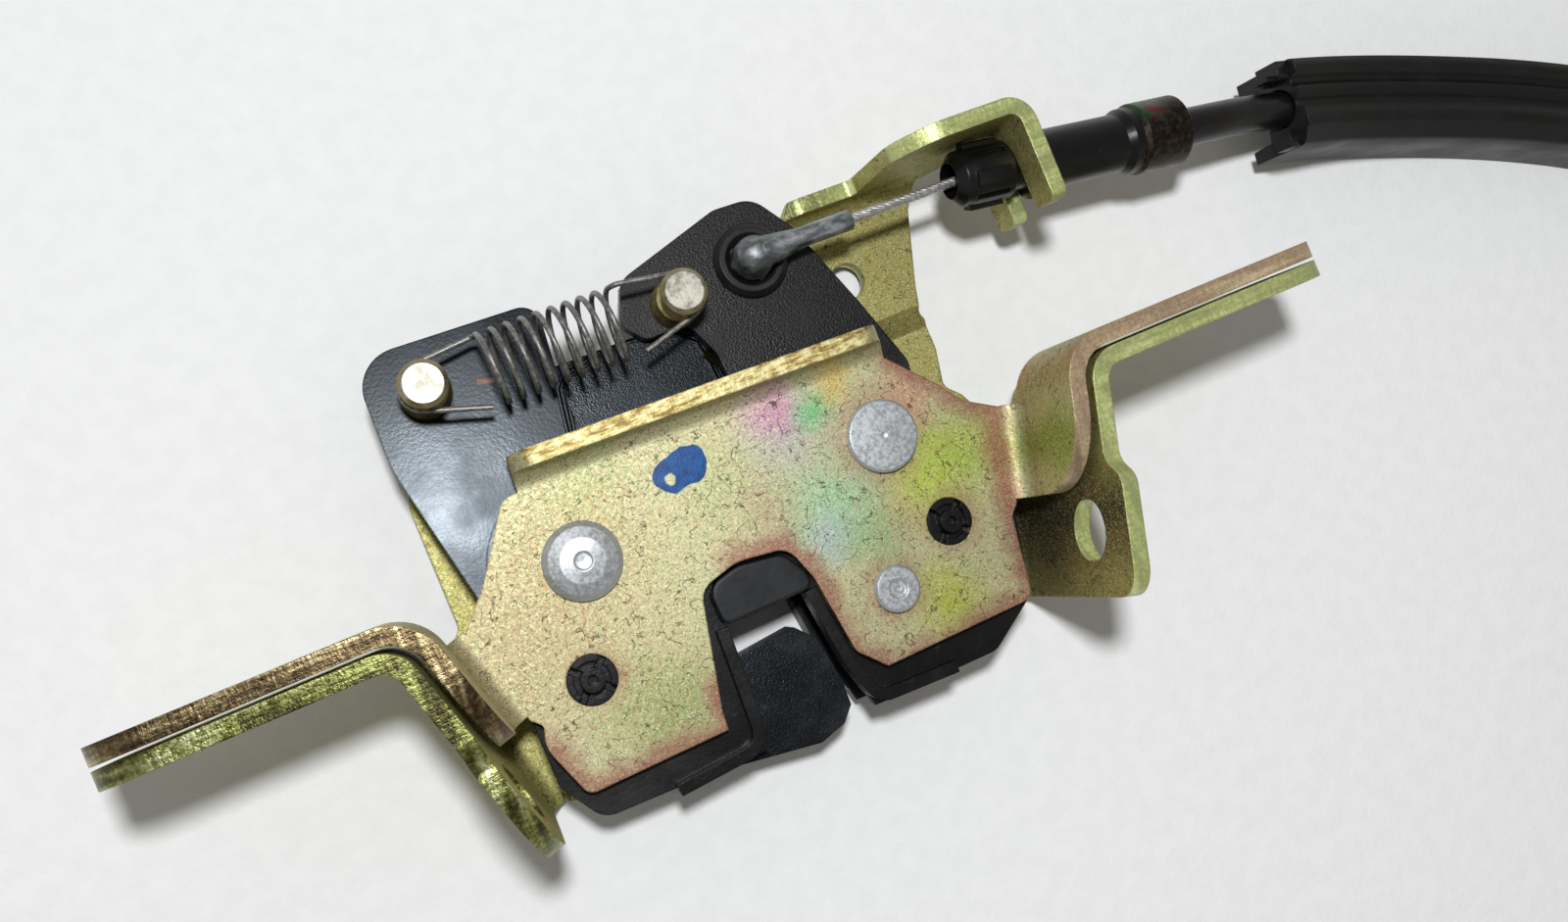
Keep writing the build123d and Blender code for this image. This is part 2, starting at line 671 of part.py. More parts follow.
def tension_spring():
    """The coil with its claw-end leg, and the separate pawl-end leg, on the line between the posts."""
    axis = Vector(PAWL_POST[0] - CLAW_POST[0], PAWL_POST[1] - CLAW_POST[1], 0)
    length = axis.length
    along = axis.normalized()
    r = SPRING_WIRE / 2
    frame = Plane(origin=(CLAW_POST[0], CLAW_POST[1], SPRING_Z), x_dir=along, z_dir=(0, 0, 1))
    ring_r = SPRING_LOOP_R
    pitch = (COIL_END - COIL_START) / SPRING_TURNS
    coil_frame = Plane(
        origin=frame.from_local_coords((COIL_START, -SPRING_DROP, 0)),
        x_dir=frame.y_dir,
        z_dir=along,
    )
    helix = Helix(pitch=pitch, height=COIL_END - COIL_START, radius=SPRING_COIL_R)
    helix = coil_frame * helix
    turn = sweep(Plane(origin=helix @ 0, z_dir=helix % 0) * Circle(r), path=helix)

    def leg(anchor, direction, coil_at, coil_r):
        """A leg from the coil's top, round the post's far side and back to a free tail."""
        away = abs(anchor - coil_at)
        height = coil_r - SPRING_DROP
        slope = math.degrees(math.atan2(height, away))
        meet = slope + math.degrees(math.acos(ring_r / math.hypot(height, away)))
        leave = 270 - TAIL_ANGLE

        def on_ring(at):
            a = math.radians(at)
            return (anchor + direction * ring_r * math.cos(a), ring_r * math.sin(a))

        start = meet if direction > 0 else 180 - meet
        back = CenterArc((anchor, 0), ring_r, start, direction * (leave - meet))
        x, y = on_ring(leave)
        a = math.radians(TAIL_ANGLE)
        tip = (x + direction * TAIL_LENGTH * math.cos(a), y - TAIL_LENGTH * math.sin(a))
        lead = Line((coil_at + direction * SPRING_OVERLAP, height), on_ring(meet))
        return frame * Wire([lead, back, Line((x, y), tip)])

    claw_leg = leg(0.0, 1, COIL_START, SPRING_COIL_R)
    pawl_leg = leg(length, -1, COIL_END + 0.3, SPRING_COIL_R - 2 * r - 0.03)
    return turn + round_wire(claw_leg, r), round_wire(pawl_leg, r)


def guide(low, high, liner_low, liner_high, pin_low, pin_high):
    """A moulded guide under a plate: its sheet, the walls that line the slot, and two snap pins."""
    outline = [
        (-42.6, -19.0, 2.0),
        (-42.6, -31.0, 3.0),
        (-38.2, -38.2, 4.0),
        (-9.0, -39.6, 0),
        (10.5, -40.6, 0),
        (32.0, -41.0, 4.0),
        (41.5, -35.0, 3.0),
        (44.6, -22.0, 3.0),
        (44.6, -11.0, 3.0),
        (22.0, -11.0, 0),
        (11.0, -6.0, 2.0),
        (-12.5, -6.0, 0),
        (-20.0, -11.0, 0),
        (-30.0, -11.0, 0),
    ]
    inner = [
        (-12.5, -45.0, 0),
        (-9.6, -37.0, 2.0),
        (-9.2, -18.6, 0),
        (-9.0, -13.0, 3.0),
        (5.0, -13.0, 3.0),
        (5.2, -18.6, 0),
        (7.0, -32.0, 3.0),
        (10.0, -46.0, 0),
    ]
    sheet = rounded_slab(outline, low, high)
    sheet -= rounded_slab(inner, low - 1, high + 1)
    left = FilletPolyline((-10.1, -18.6), (-10.9, -38.3), (-26.0, -39.0), radius=3.5)
    right = FilletPolyline((5.7, -18.6), (7.3, -31.6), (9.6, -39.4), (24.0, -40.2), radius=3.0)
    walls = extrude(
        Plane.XY.offset(liner_low) * (trace(left, GUIDE_WALL) + trace(right, GUIDE_WALL)),
        liner_high - liner_low,
    )
    sheet += walls
    sheet -= post(CLAW_X, 0, HUB_R + 0.9, low - 1, high + 1)
    sheet -= post(PAWL_X, 0, PAWL_HUB_R + 1.0, low - 1, high + 1)
    sheet -= post(STOP_X, STOP_Y, STOP_R + FIT, low - 1, high + 1)
    for x in (-PIN_X, PIN_X):
        sheet += post(x, PIN_Y, PIN_HOLE_R - 0.1, pin_low, pin_high)
    return sheet


def front_guide():
    """The guide that shows in the slot, with split snap pins through the front plate."""
    low = FRONT_UNDER - GUIDE_SHEET
    piece = guide(low, FRONT_UNDER, low, LINER_TOP, low, FRONT_TOP + 0.4)
    for x in (-PIN_X, PIN_X):
        piece += post(x, PIN_Y, 1.9, low, FRONT_TOP + 1.2)
        piece -= post(x, PIN_Y, 0.8, FRONT_TOP, FRONT_TOP + 2)
        moat = post(x, PIN_Y, 2.9, FRONT_TOP - 0.6, FRONT_TOP + 1) - post(
            x, PIN_Y, 1.9, FRONT_TOP - 1, FRONT_TOP + 2
        )
        piece -= moat
        for turn in (0, 90):
            cut = Pos(x, PIN_Y, FRONT_TOP - 0.6) * Rot(0, 0, turn + 45) * Box(9, 1.2, 2.4)
            piece -= cut - post(x, PIN_Y, 1.9, FRONT_UNDER, FRONT_TOP + 3)
    piece -= rounded_slab(bumper_outline(), low - 1, LINER_TOP + 2)
    return piece


def back_guide():
    """The matching guide on the rear plate."""
    return guide(BACK_TOP, BACK_TOP + GUIDE_SHEET, 0.4, BACK_TOP + GUIDE_SHEET, 0.2, BACK_TOP)


def bumper_outline():
    """The cushion that closes the slot's top end."""
    return [
        (-9.9, -11.6, 3.0),
        (-4.0, -10.2, 6.0),
        (3.8, -11.4, 3.0),
        (6.2, -15.5, 2.0),
        (6.4, -18.4, 1.5),
        (-9.6, -18.4, 1.5),
    ]


def striker_bumper():
    """The soft cushion that the striker meets at the slot's top."""
    low = FRONT_UNDER - GUIDE_SHEET
    piece = rounded_slab(bumper_outline(), low, BUMPER_TOP)
    top = piece.faces().sort_by(Axis.Z)[-1]
    return fillet(top.edges(), 0.5)


def cable_end():
    """The cast end: a pin in the eyelet, an elbow, and a barrel cast round the wire."""
    x, y = EYELET
    piece = post(x, y, END_PIN_R, LEVER_LOW + 1.0, CABLE_Z - 1.2)
    piece += Pos(x, y, CABLE_Z - 1.2) * Sphere(END_PIN_R)
    barrel = Plane(origin=(x, y, CABLE_Z), x_dir=(0, 1, 0), z_dir=(1, 0, 0))
    piece += extrude(barrel * RegularPolygon(END_BARREL_R, 8, major_radius=False), END_LENGTH)
    taper = Plane(origin=(x + 1.0, y, CABLE_Z - 0.4), x_dir=(0, 1, 0), z_dir=(1, 0, 0))
    small = taper.offset(7.5)
    piece += loft([taper * Circle(2.7), small * Circle(END_BARREL_R + 0.1)])
    return piece


def cable_wire():
    """The bare stranded wire between the cast end and the fitting's nose."""
    x, y = EYELET
    start = Plane(origin=(x + END_LENGTH, y, CABLE_Z), z_dir=(1, 0, 0))
    return extrude(start * Circle(WIRE_R), WIRE_LENGTH)


def cable_axis():
    """The plane whose normal is the cable's direction where it passes the fork."""
    yaw = math.radians(FITTING_YAW)
    pitch = math.radians(FITTING_PITCH)
    direction = Vector(
        math.cos(pitch) * math.cos(yaw), math.cos(pitch) * math.sin(yaw), math.sin(pitch)
    )
    return Plane(origin=FITTING, x_dir=(0, 0, 1), z_dir=direction)


def conduit_fitting():
    """The moulded clip: nose with ribs, neck in the fork, collar and tube."""
    r = FITTING_R
    bore = FITTING_BORE_R
    profile = [
        (bore, -GROOVE_HALF - NOSE_LENGTH),
        (r - 2.0, -GROOVE_HALF - NOSE_LENGTH),
        (r - 0.5, -GROOVE_HALF - NOSE_LENGTH + 1.4),
        (r - 0.2, -GROOVE_HALF - NOSE_LENGTH + 3.5),
        (r - 0.2, -GROOVE_HALF),
        (NECK_R, -GROOVE_HALF),
        (NECK_R, GROOVE_HALF),
        (COLLAR_R, GROOVE_HALF),
        (COLLAR_R, GROOVE_HALF + COLLAR_WIDTH),
        (r, GROOVE_HALF + COLLAR_WIDTH + 0.8),
        (r - 0.1, TUBE_LENGTH - 3.0),
        (r + 0.6, TUBE_LENGTH - 1.6),
        (r + 0.6, TUBE_LENGTH),
        (bore, TUBE_LENGTH),
    ]
    face = make_face(Polyline(*[(x, 0, z) for x, z in profile], close=True))
    piece = revolve(face, Axis.Z)
    for turn in (0, 90, 180, 270):
        rib = Rot(0, 0, turn + 20) * Pos(r - 0.4, 0, -GROOVE_HALF - 4.4) * Box(1.6, 2.4, 6.4)
        piece += rib
        slit = Rot(0, 0, turn + 60) * Pos(r, 0, -GROOVE_HALF - 4.2) * Box(1.6, 1.2, 6.4)
        piece -= slit
    return cable_axis().location * piece


def on_axis(plane, radius, low, high, bore=0.0):
    """A round piece on a plane's normal, between two distances, with an optional bore."""
    piece = extrude(plane.offset(low) * Circle(radius), high - low)
    if bore:
        piece -= extrude(plane.offset(low - 1) * Circle(bore), high - low + 2)
    return piece


def crimp(plane, low, high, bore):
    """A crimped metal ferrule with turned-in ends."""
    piece = on_axis(plane, FERRULE_R, low, high)
    piece = chamfer(piece.edges().filter_by(GeomType.CIRCLE), 0.9)
    return piece - extrude(plane.offset(low - 1) * Circle(bore), high - low + 2)


def bend_radii(points):
    """The largest radius for each corner of a route whose runs both keep room for it."""
    radii = []
    for before, at, after in zip(points, points[1:], points[2:]):
        run_in = Vector(*at) - Vector(*before)
        run_out = Vector(*after) - Vector(*at)
        half_turn = math.radians(run_in.get_angle(run_out)) / 2
        radii.append(0.45 * min(run_in.length, run_out.length) / math.tan(half_turn))
    return radii


def route_tube(points, radii, radius, bore=0.0):
    """A tube along straight runs and tangent arcs, and its length."""
    path = FilletPolyline(*points, radius=radii)
    section = Circle(radius)
    if bore:
        section = section - Circle(bore)
    start = Plane(origin=path @ 0, z_dir=path % 0)
    return sweep(start * section, path=path), path.length


def cable_run():
    """The conduit on its route, the sleeve round it, and the far end with its nipple."""
    axis = cable_axis()
    ferrule_end = TUBE_LENGTH + FERRULE_LENGTH
    exit_point = axis.from_local_coords((0, 0, ferrule_end + 4.0))
    start_point = axis.from_local_coords((0, 0, TUBE_LENGTH + CONDUIT_INSET))
    grip = CONDUIT_R + FIT
    points = [(start_point.X, start_point.Y, start_point.Z)]
    points += [(exit_point.X, exit_point.Y, exit_point.Z), *CONDUIT_ROUTE]
    radii = bend_radii(points)
    conduit, length = route_tube(points, radii, CONDUIT_R)
    expected = math.pi * CONDUIT_R**2 * length
    print("conduit radii", [round(r) for r in radii], "length", round(length, 1))
    print("conduit volume", round(conduit.volume), "expected", round(expected))

    first = Vector(*points[SLEEVE_FIRST + 1])
    lead = (Vector(*points[SLEEVE_FIRST]) - first).normalized() * SLEEVE_LEAD
    last = Vector(*points[SLEEVE_LAST + 1])
    tail = (Vector(*points[SLEEVE_LAST + 2]) - last).normalized() * SLEEVE_TAIL
    begin = first + lead
    finish = last + tail
    inside = points[SLEEVE_FIRST + 1 : SLEEVE_LAST + 2]
    covered = [(begin.X, begin.Y, begin.Z), *inside, (finish.X, finish.Y, finish.Z)]
    covered_radii = radii[SLEEVE_FIRST : SLEEVE_LAST + 1]
    sleeve, covered_length = route_tube(covered, covered_radii, SLEEVE_R, CONDUIT_R + SLEEVE_PLAY)
    print("sleeve length", round(covered_length, 1))

    heading = (Vector(*points[-1]) - Vector(*points[-2])).normalized()
    sideways = heading.cross(Vector(0, 0, 1)).normalized()
    far = Plane(origin=points[-1], x_dir=sideways, z_dir=heading)
    far_end = CONDUIT_INSET + FAR_FITTING_LENGTH
    fitting = on_axis(far, FITTING_R, CONDUIT_INSET, far_end, WIRE_R + 0.4)
    fitting += on_axis(far, COLLAR_R, CONDUIT_INSET + 4, CONDUIT_INSET + 6, FITTING_R - 1)
    wire = on_axis(far, WIRE_R, far_end - FAR_WIRE_HIDDEN, far_end + FAR_WIRE_SHOWN)
    nipple = on_axis(
        far, NIPPLE_R, far_end + FAR_WIRE_SHOWN, far_end + FAR_WIRE_SHOWN + NIPPLE_LENGTH
    )
    return {
        "crimp_ferrule": crimp(axis, TUBE_LENGTH, ferrule_end, grip),
        "conduit": conduit,
        "sleeve": sleeve,
        "far_ferrule": crimp(far, CONDUIT_INSET - FERRULE_LENGTH, CONDUIT_INSET, grip),
        "far_fitting": fitting,
        "far_wire": wire,
        "far_nipple": nipple,
    }


def build():
    """Every piece of the latch, by node name."""
    coil, pawl_leg = tension_spring()
    nodes = {
        "back_plate": back_plate(),
        "front_plate": front_plate(),
        "front_guide": front_guide(),
        "back_guide": back_guide(),
        "striker_bumper": striker_bumper(),
        "claw": claw(),
        "claw_spring_post": spring_post(CLAW_POST, LOBE_LOW),
        "pawl_lever": pawl_lever(),
        "pawl_spring_post": spring_post(PAWL_POST, LEVER_PLATE_LOW),
        "eyelet_bush": eyelet_bush(),
        "tension_spring": coil,
        "spring_pawl_leg": pawl_leg,
        "cable_end": cable_end(),
        "cable_wire": cable_wire(),
        "conduit_fitting": conduit_fitting(),
    }
    nodes.update(rivets())
    nodes.update(cable_run())
    return nodes


os.makedirs("parts", exist_ok=True)
for name, piece in build().items():
    export_step(piece, f"parts/{name}.step")
    print(name, len(piece.solids()), "solid", round(piece.volume), "mm3")
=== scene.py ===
# %% [markdown]
# # A seat latch with a sheathed cable
# The real object is a pressed-steel latch: two yellow zinc-plated sheets riveted together, with a
# black claw and a black release lever between them, a small tension spring, and a sheathed cable
# that pulls the lever. The solid parts come from the imported CAD model, which stands still and is
# never changed here. Blender adds what CAD leaves out: the finishes, the spring's wire, the strands
# of the cable, its flexible sheath and the ribbed rubber sleeve.

# %% Load the CAD frame, and a millimetre in metres
import math

import bpy
from mathutils import Matrix, Vector


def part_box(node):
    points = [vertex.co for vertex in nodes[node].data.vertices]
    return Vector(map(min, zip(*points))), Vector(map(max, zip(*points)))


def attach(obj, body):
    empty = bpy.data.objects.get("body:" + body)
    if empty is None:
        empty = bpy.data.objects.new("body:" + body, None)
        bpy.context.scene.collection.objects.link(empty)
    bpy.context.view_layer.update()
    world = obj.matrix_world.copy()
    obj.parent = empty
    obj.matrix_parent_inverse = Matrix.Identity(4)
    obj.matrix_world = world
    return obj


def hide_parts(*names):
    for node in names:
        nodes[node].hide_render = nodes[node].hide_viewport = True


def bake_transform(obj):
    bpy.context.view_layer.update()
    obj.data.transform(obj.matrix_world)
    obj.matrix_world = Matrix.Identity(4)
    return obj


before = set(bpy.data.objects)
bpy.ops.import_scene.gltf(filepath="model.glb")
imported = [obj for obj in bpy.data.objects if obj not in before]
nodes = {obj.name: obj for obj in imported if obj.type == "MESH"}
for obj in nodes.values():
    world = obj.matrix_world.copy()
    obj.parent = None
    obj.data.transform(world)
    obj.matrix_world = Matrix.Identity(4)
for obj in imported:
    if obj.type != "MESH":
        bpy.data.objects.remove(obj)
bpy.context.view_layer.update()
MM = 0.001

# %% [markdown]
# ## The camera
# A camera can be aimed by eye or solved. This one was solved from straight edges and circles of
# known height, so it is written as three directions and a place, and the lens is a short one, as in
# a phone held about 20 cm above the table.

# %% The camera
lens = bpy.data.cameras.new("camera")
lens.lens = 29.25
lens.sensor_width = 36.0
lens.clip_start = 0.01
camera = bpy.data.objects.new("camera", lens)
bpy.context.scene.collection.objects.link(camera)
right = Vector((0.892725, -0.382682, 0.237901))
down = Vector((-0.370281, -0.923878, -0.096647))
forward = Vector((0.256776, -0.001811, -0.966469))
stand = Matrix.Identity(4)
for row in range(3):
    stand[row][0] = right[row]
    stand[row][1] = -down[row]
    stand[row][2] = -forward[row]
stand.translation = (-0.04356, 0.00274, 0.218)
camera.matrix_world = stand
bpy.context.scene.camera = camera
print("camera at", tuple(round(c, 3) for c in camera.location))

# %% [markdown]
# ## The cable's sheath
# The sheath is a springy plastic tube. A NURBS curve with a round bevel suits it: its few control
# points pull the line into one smooth bend, as the stiff tube would take. The points are the same
# as the CAD route's, so the sheath lies where its solid lies, and past the picture's edge it turns
# back in one wide loop on the table.

# %% The sheath's route
SHEATH_R = 3.45 * MM
ROUTE_MM = [
    (91.532, 31.643, 18.218),
    (104.940, 30.233, 17.511),
    (121.0, 28.9, 14.2),
    (141.0, 25.7, 9.6),
    (162.0, 19.6, 8.4),
    (184.0, 11.8, 8.3),
    (207.0, 1.6, 8.2),
    (228.0, -11.0, 6.6),
    (247.0, -27.0, 4.6),
    (258.0, -49.0, 3.7),
    (257.0, -75.0, 3.8),
    (243.0, -96.0, 4.2),
    (221.0, -107.0, 5.0),
    (198.0, -110.0, 6.4),
]
route = [Vector(p) * MM for p in ROUTE_MM]


def route_curve(name):
    """The sheath's route as a curve with one open NURBS spline."""
    curve = bpy.data.curves.new(name, "CURVE")
    curve.dimensions = "3D"
    spline = curve.splines.new("NURBS")
    spline.points.add(len(route) - 1)
    for point, place in zip(spline.points, route):
        point.co = (*place, 1.0)
    spline.order_u = 3
    spline.use_endpoint_u = True
    spline.resolution_u = 10
    return curve


sheath_curve = route_curve("cable_sheath")
sheath_curve.bevel_depth = SHEATH_R
sheath_curve.bevel_resolution = 8
sheath_curve.use_fill_caps = True
sheath = bpy.data.objects.new("cable_sheath", sheath_curve)
bpy.context.scene.collection.objects.link(sheath)
print("sheath points", len(route))

# %% The line that the sleeve follows
bare_line = bpy.data.objects.new("sheath_line", route_curve("sheath_line"))
bpy.context.scene.collection.objects.link(bare_line)
bpy.context.view_layer.update()
seen = bpy.context.evaluated_depsgraph_get()
line_mesh = bpy.data.meshes.new_from_object(bare_line.evaluated_get(seen))
line = [v.co.copy() for v in line_mesh.vertices]
bpy.data.objects.remove(bare_line)
travelled = [0.0]
for before, after in zip(line, line[1:]):
    travelled.append(travelled[-1] + (after - before).length)
print("line points", len(line), "length", round(travelled[-1], 4))


def travelled_to(place):
    """The distance along the sheath's line to its point nearest to a place."""
    nearest = min(range(len(line)), key=lambda i: (line[i] - place).length)
    return travelled[nearest]


# %% [markdown]
# ## Helpers for shader trees
# Every finish is a small tree of nodes that reads the position on the object, so it needs no
# picture and no unwrapping. A few helpers keep the trees short to read: they add a node, do a sum
# on values or on vectors, make a soft threshold or a band, lay one tone over another, and put what
# they made on the shader.


# %% Node helpers
def put(tree, kind, inputs=None, **settings):
    """A new node with its settings, and its inputs joined or set by name or number."""
    node = tree.nodes.new(kind)
    for key, value in settings.items():
        setattr(node, key, value)
    for key, value in (inputs or {}).items():
        if isinstance(value, bpy.types.NodeSocket):
            tree.links.new(value, node.inputs[key])
        else:
            node.inputs[key].default_value = value
    return node


def sums(tree, operation, first, *others):
    """A sum on one value, or the same sum along a row of values."""
    if not others:
        return put(tree, "ShaderNodeMath", {0: first}, operation=operation).outputs[0]
    for value in others:
        first = put(tree, "ShaderNodeMath", {0: first, 1: value}, operation=operation).outputs[0]
    return first


def vectors(tree, operation, a, b):
    """A sum on two vectors; a distance or a dot product comes out as one value."""
    node = put(tree, "ShaderNodeVectorMath", {0: a, 1: b}, operation=operation)
    return node.outputs["Value" if operation in ("DISTANCE", "DOT_PRODUCT") else "Vector"]


def axis_of(tree, where, axis):
    """One coordinate of a place: 0 is X, 1 is Y and 2 is Z."""
    return put(tree, "ShaderNodeSeparateXYZ", {0: where}).outputs[axis]


def squeezed(tree, where, factors):
    """The position shrunk along some axes, which stretches a pattern along them."""
    return vectors(tree, "MULTIPLY", where, factors)


def noise(tree, where, scale, detail=3.0, rough=0.5):
    """Smooth noise with that many features per metre, from 0 to 1."""
    settings = {"Vector": where, "Scale": scale, "Detail": detail, "Roughness": rough}
    return put(tree, "ShaderNodeTexNoise", settings).outputs[0]


def ramp(tree, value, low, high, start=0.0, end=1.0):
    """A soft step from start to end while the value goes from low to high."""
    levels = {0: value, 1: low, 2: high, 3: start, 4: end}
    return put(tree, "ShaderNodeMapRange", levels, interpolation_type="SMOOTHSTEP").outputs[0]


def band(tree, value, limits):
    """1 between the two inner limits and 0 past the outer ones, in millimetres."""
    rise, full, fade, gone = (limit * MM for limit in limits)
    falling = ramp(tree, value, fade, gone, 1.0, 0.0)
    return sums(tree, "MULTIPLY", ramp(tree, value, rise, full), falling)


print("node helpers ready")


# %% Colour helpers
def screen(red, green, blue):
    """A colour as it looks on a screen, from 0 to 255, in the linear values that shaders use."""
    parts = [c / 255 for c in (red, green, blue)]
    return [c / 12.92 if c < 0.04045 else ((c + 0.055) / 1.055) ** 2.4 for c in parts] + [1.0]


def blend_values(tree, share, a, b):
    """Value b over value a by a share."""
    return put(tree, "ShaderNodeMix", {0: share, 2: a, 3: b}).outputs[0]


def blend_colours(tree, share, a, b):
    """Colour b over colour a by a share."""
    return put(tree, "ShaderNodeMix", {0: share, 6: a, 7: b}, data_type="RGBA").outputs[2]


def toned(tree, share, under, tone):
    """A screen tone over a colour by a share."""
    return blend_colours(tree, share, under, screen(*tone))


def tone_bar(tree, value, tones, places=None):
    """A bar of tones that a value from 0 to 1 picks from; they stand evenly unless told where."""
    places = places or [number / (len(tones) - 1) for number in range(len(tones))]
    node = put(tree, "ShaderNodeValToRGB", {0: value})
    bar = node.color_ramp
    bar.elements[0].color = screen(*tones[0])
    bar.elements[1].color = screen(*tones[-1])
    for place, tone in zip(places[1:-1], tones[1:-1]):
        bar.elements.new(place).color = screen(*tone)
    return node.outputs[0]


print("colour helpers ready")


# %% Material helpers
def blank_finish(name, metal, rough, specular=0.5):
    """A material with its shader and the position on the object."""
    finish = bpy.data.materials.new(name)
    finish.use_nodes = True
    tree = finish.node_tree
    tree.nodes.clear()
    end = put(tree, "ShaderNodeOutputMaterial")
    shader = put(tree, "ShaderNodeBsdfPrincipled", {"Metallic": metal, "Roughness": rough})
    shader.inputs["Specular IOR Level"].default_value = specular
    tree.links.new(shader.outputs["BSDF"], end.inputs["Surface"])
    where = put(tree, "ShaderNodeTexCoord").outputs["Object"]
    return finish, tree, shader, where


def relief(tree, shader, height, depth, edge=0.0):
    """Fine relief, with the sharp CAD edges softened by a radius."""
    inputs = {"Height": height, "Distance": depth, "Strength": 1.0}
    if edge:
        soft = put(tree, "ShaderNodeBevel", {"Radius": edge}, samples=4)
        inputs["Normal"] = soft.outputs[0]
    bump = put(tree, "ShaderNodeBump", inputs)
    tree.links.new(bump.outputs[0], shader.inputs["Normal"])


def drive(tree, shader, **sockets):
    """Joins values that change over the surface to the shader's inputs."""
    for key, value in sockets.items():
        tree.links.new(value, shader.inputs[key.replace("_", " ")])


def driven_by(shader, socket):
    """What is joined to one of the shader's inputs so far."""
    return shader.inputs[socket].links[0].from_socket


print("material helpers ready")

# %% [markdown]
# ## Yellow zinc plating
# The sheets are steel with yellow zinc chromate: a thin film on bright metal, so its colour drifts
# between gold, green and pink with the film's thickness. Each sheet gets one tone for its film,
# with fine patches and specks from noise. Wide tints stand where the real plates turn grey, green
# or pink, such as the rings round the rivets, and a near-black tint on the back plate's ear is a
# painted dark reflection. Cut edges are brighter and striped by the press, and they are found from
# the height and the surface direction, not painted by hand.


# %% Distance to a place on the plate
def near(tree, where, x, y, reach):
    """A soft spot round an upright axis: 1 at its middle and 0 at its reach, in millimetres."""
    away = vectors(tree, "DISTANCE", squeezed(tree, where, (1, 1, 0)), (x * MM, y * MM, 0))
    return ramp(tree, away, 0.0, reach * MM, 1.0, 0.0)


def wobbled(tree, where, scale, amount):
    """The position pushed about by noise, so that straight limits become natural ones."""
    push = put(tree, "ShaderNodeTexNoise", {"Vector": where, "Scale": scale, "Detail": 2.0})
    centred = vectors(tree, "SUBTRACT", push.outputs["Color"], (0.5, 0.5, 0.5))
    return vectors(tree, "ADD", where, squeezed(tree, centred, [amount * MM] * 3))


def hairlines(tree, where, scale, width, cover):
    """Broken, curly hairlines: a narrow band of one noise, kept only where another is high."""
    from_middle = sums(tree, "SUBTRACT", noise(tree, where, scale, 2.0), 0.5)
    line_here = ramp(tree, sums(tree, "ABSOLUTE", from_middle), 0.0, width, 1.0, 0.0)
    elsewhere = vectors(tree, "ADD", where, (0.3, 0.7, 0.1))
    kept = ramp(tree, noise(tree, elsewhere, scale * 1.7, 2.0), cover, cover + 0.05)
    return sums(tree, "MULTIPLY", line_here, kept)


print("plating helpers ready")

# %% Cut edges of the sheets
DULL_EDGE = (70, 62, 40)


def edge_share(tree, where, top):
    """1 on a sheet's cut edges: upright faces below its flat top, and the tops of its tabs."""
    height = axis_of(tree, where, 2)
    up = axis_of(tree, put(tree, "ShaderNodeTexCoord").outputs["Normal"], 2)
    steep = ramp(tree, sums(tree, "ABSOLUTE", up), 0.25, 0.45, 1.0, 0.0)
    in_plate = ramp(tree, height, (top + 0.02) * MM, (top + 0.3) * MM, 1.0, 0.0)
    level = ramp(tree, up, 0.2, 0.45)
    high = ramp(tree, height, (top + 4.0) * MM, (top + 4.4) * MM)
    plate_edge = sums(tree, "MULTIPLY", steep, in_plate)
    return sums(tree, "MAXIMUM", plate_edge, sums(tree, "MULTIPLY", level, high))


def on_wing_or_wall(tree, where, wing_value, wall_value):
    """The wings run along X and the tabs' walls along Y, so each takes its own value."""
    aside = sums(tree, "ABSOLUTE", axis_of(tree, where, 0))
    return blend_values(tree, ramp(tree, aside, 55 * MM, 58 * MM), wall_value, wing_value)


def edge_bands(tree, where):
    """Long bands along a cut edge, as the press leaves a smooth band and a broken one."""
    on_wings = noise(tree, squeezed(tree, where, (0.1, 1, 0.1)), 520.0, 3.0, 0.55)
    on_walls = noise(tree, squeezed(tree, where, (1, 0.12, 0.1)), 520.0, 3.0, 0.55)
    return on_wing_or_wall(tree, where, on_wings, on_walls)


def pressed_stripes(tree, where):
    """Fine stripes across a cut edge: along X on the wings, and along Y on the tabs' walls."""
    on_wings = noise(tree, squeezed(tree, where, (1, 0.12, 0.12)), 1500.0, 3.0, 0.6)
    on_walls = noise(tree, squeezed(tree, where, (0.12, 1, 0.12)), 1500.0, 3.0, 0.6)
    return on_wing_or_wall(tree, where, on_wings, on_walls)


def cut_colour(tree, where, pattern, edge_tones, pale_edge):
    """The tones of a cut edge, paler on the right and duller on the left, and the pale share."""
    colour = tone_bar(tree, ramp(tree, pattern, 0.36, 0.66), edge_tones)
    to_right = axis_of(tree, where, 0)
    pale = ramp(tree, to_right, 20 * MM, 45 * MM, 0.0, 0.5)
    dull = ramp(tree, to_right, -30 * MM, -60 * MM, 0.0, 0.35)
    colour = toned(tree, pale, colour, pale_edge)
    return toned(tree, dull, colour, DULL_EDGE), pale


print("edge helpers ready")


# %% Distance to a plate's outline
def side_distance(tree, where, sides):
    """Distance in plan to the nearest of some straight sides, in metres."""
    flat = squeezed(tree, where, (1, 1, 0))
    nearest = None
    for start, end in sides:
        corner = Vector((*start, 0)) * MM
        side = Vector((*end, 0)) * MM - corner
        away = vectors(tree, "SUBTRACT", flat, corner)
        along = vectors(tree, "DOT_PRODUCT", away, side / side.length_squared)
        held = put(tree, "ShaderNodeClamp", {0: along}).outputs[0]
        gap = vectors(tree, "DISTANCE", away, squeezed(tree, held, side))
        nearest = gap if nearest is None else sums(tree, "MINIMUM", nearest, gap)
    return nearest


def round_rims(tree, where, spots):
    """1 at the rims of round heads and holes, fading over their reach outwards."""
    return sums(tree, "MAXIMUM", *(near(tree, where, *spot) for spot in spots))


print("rim helpers ready")

# %% The film's own colour
WARM_PATCH = (172, 128, 78)
FRESH_PATCH = (150, 172, 104)
LIGHT_SPECK = (238, 234, 200)
DARK_SPECK = (84, 68, 40)
HAIR = (52, 46, 26)


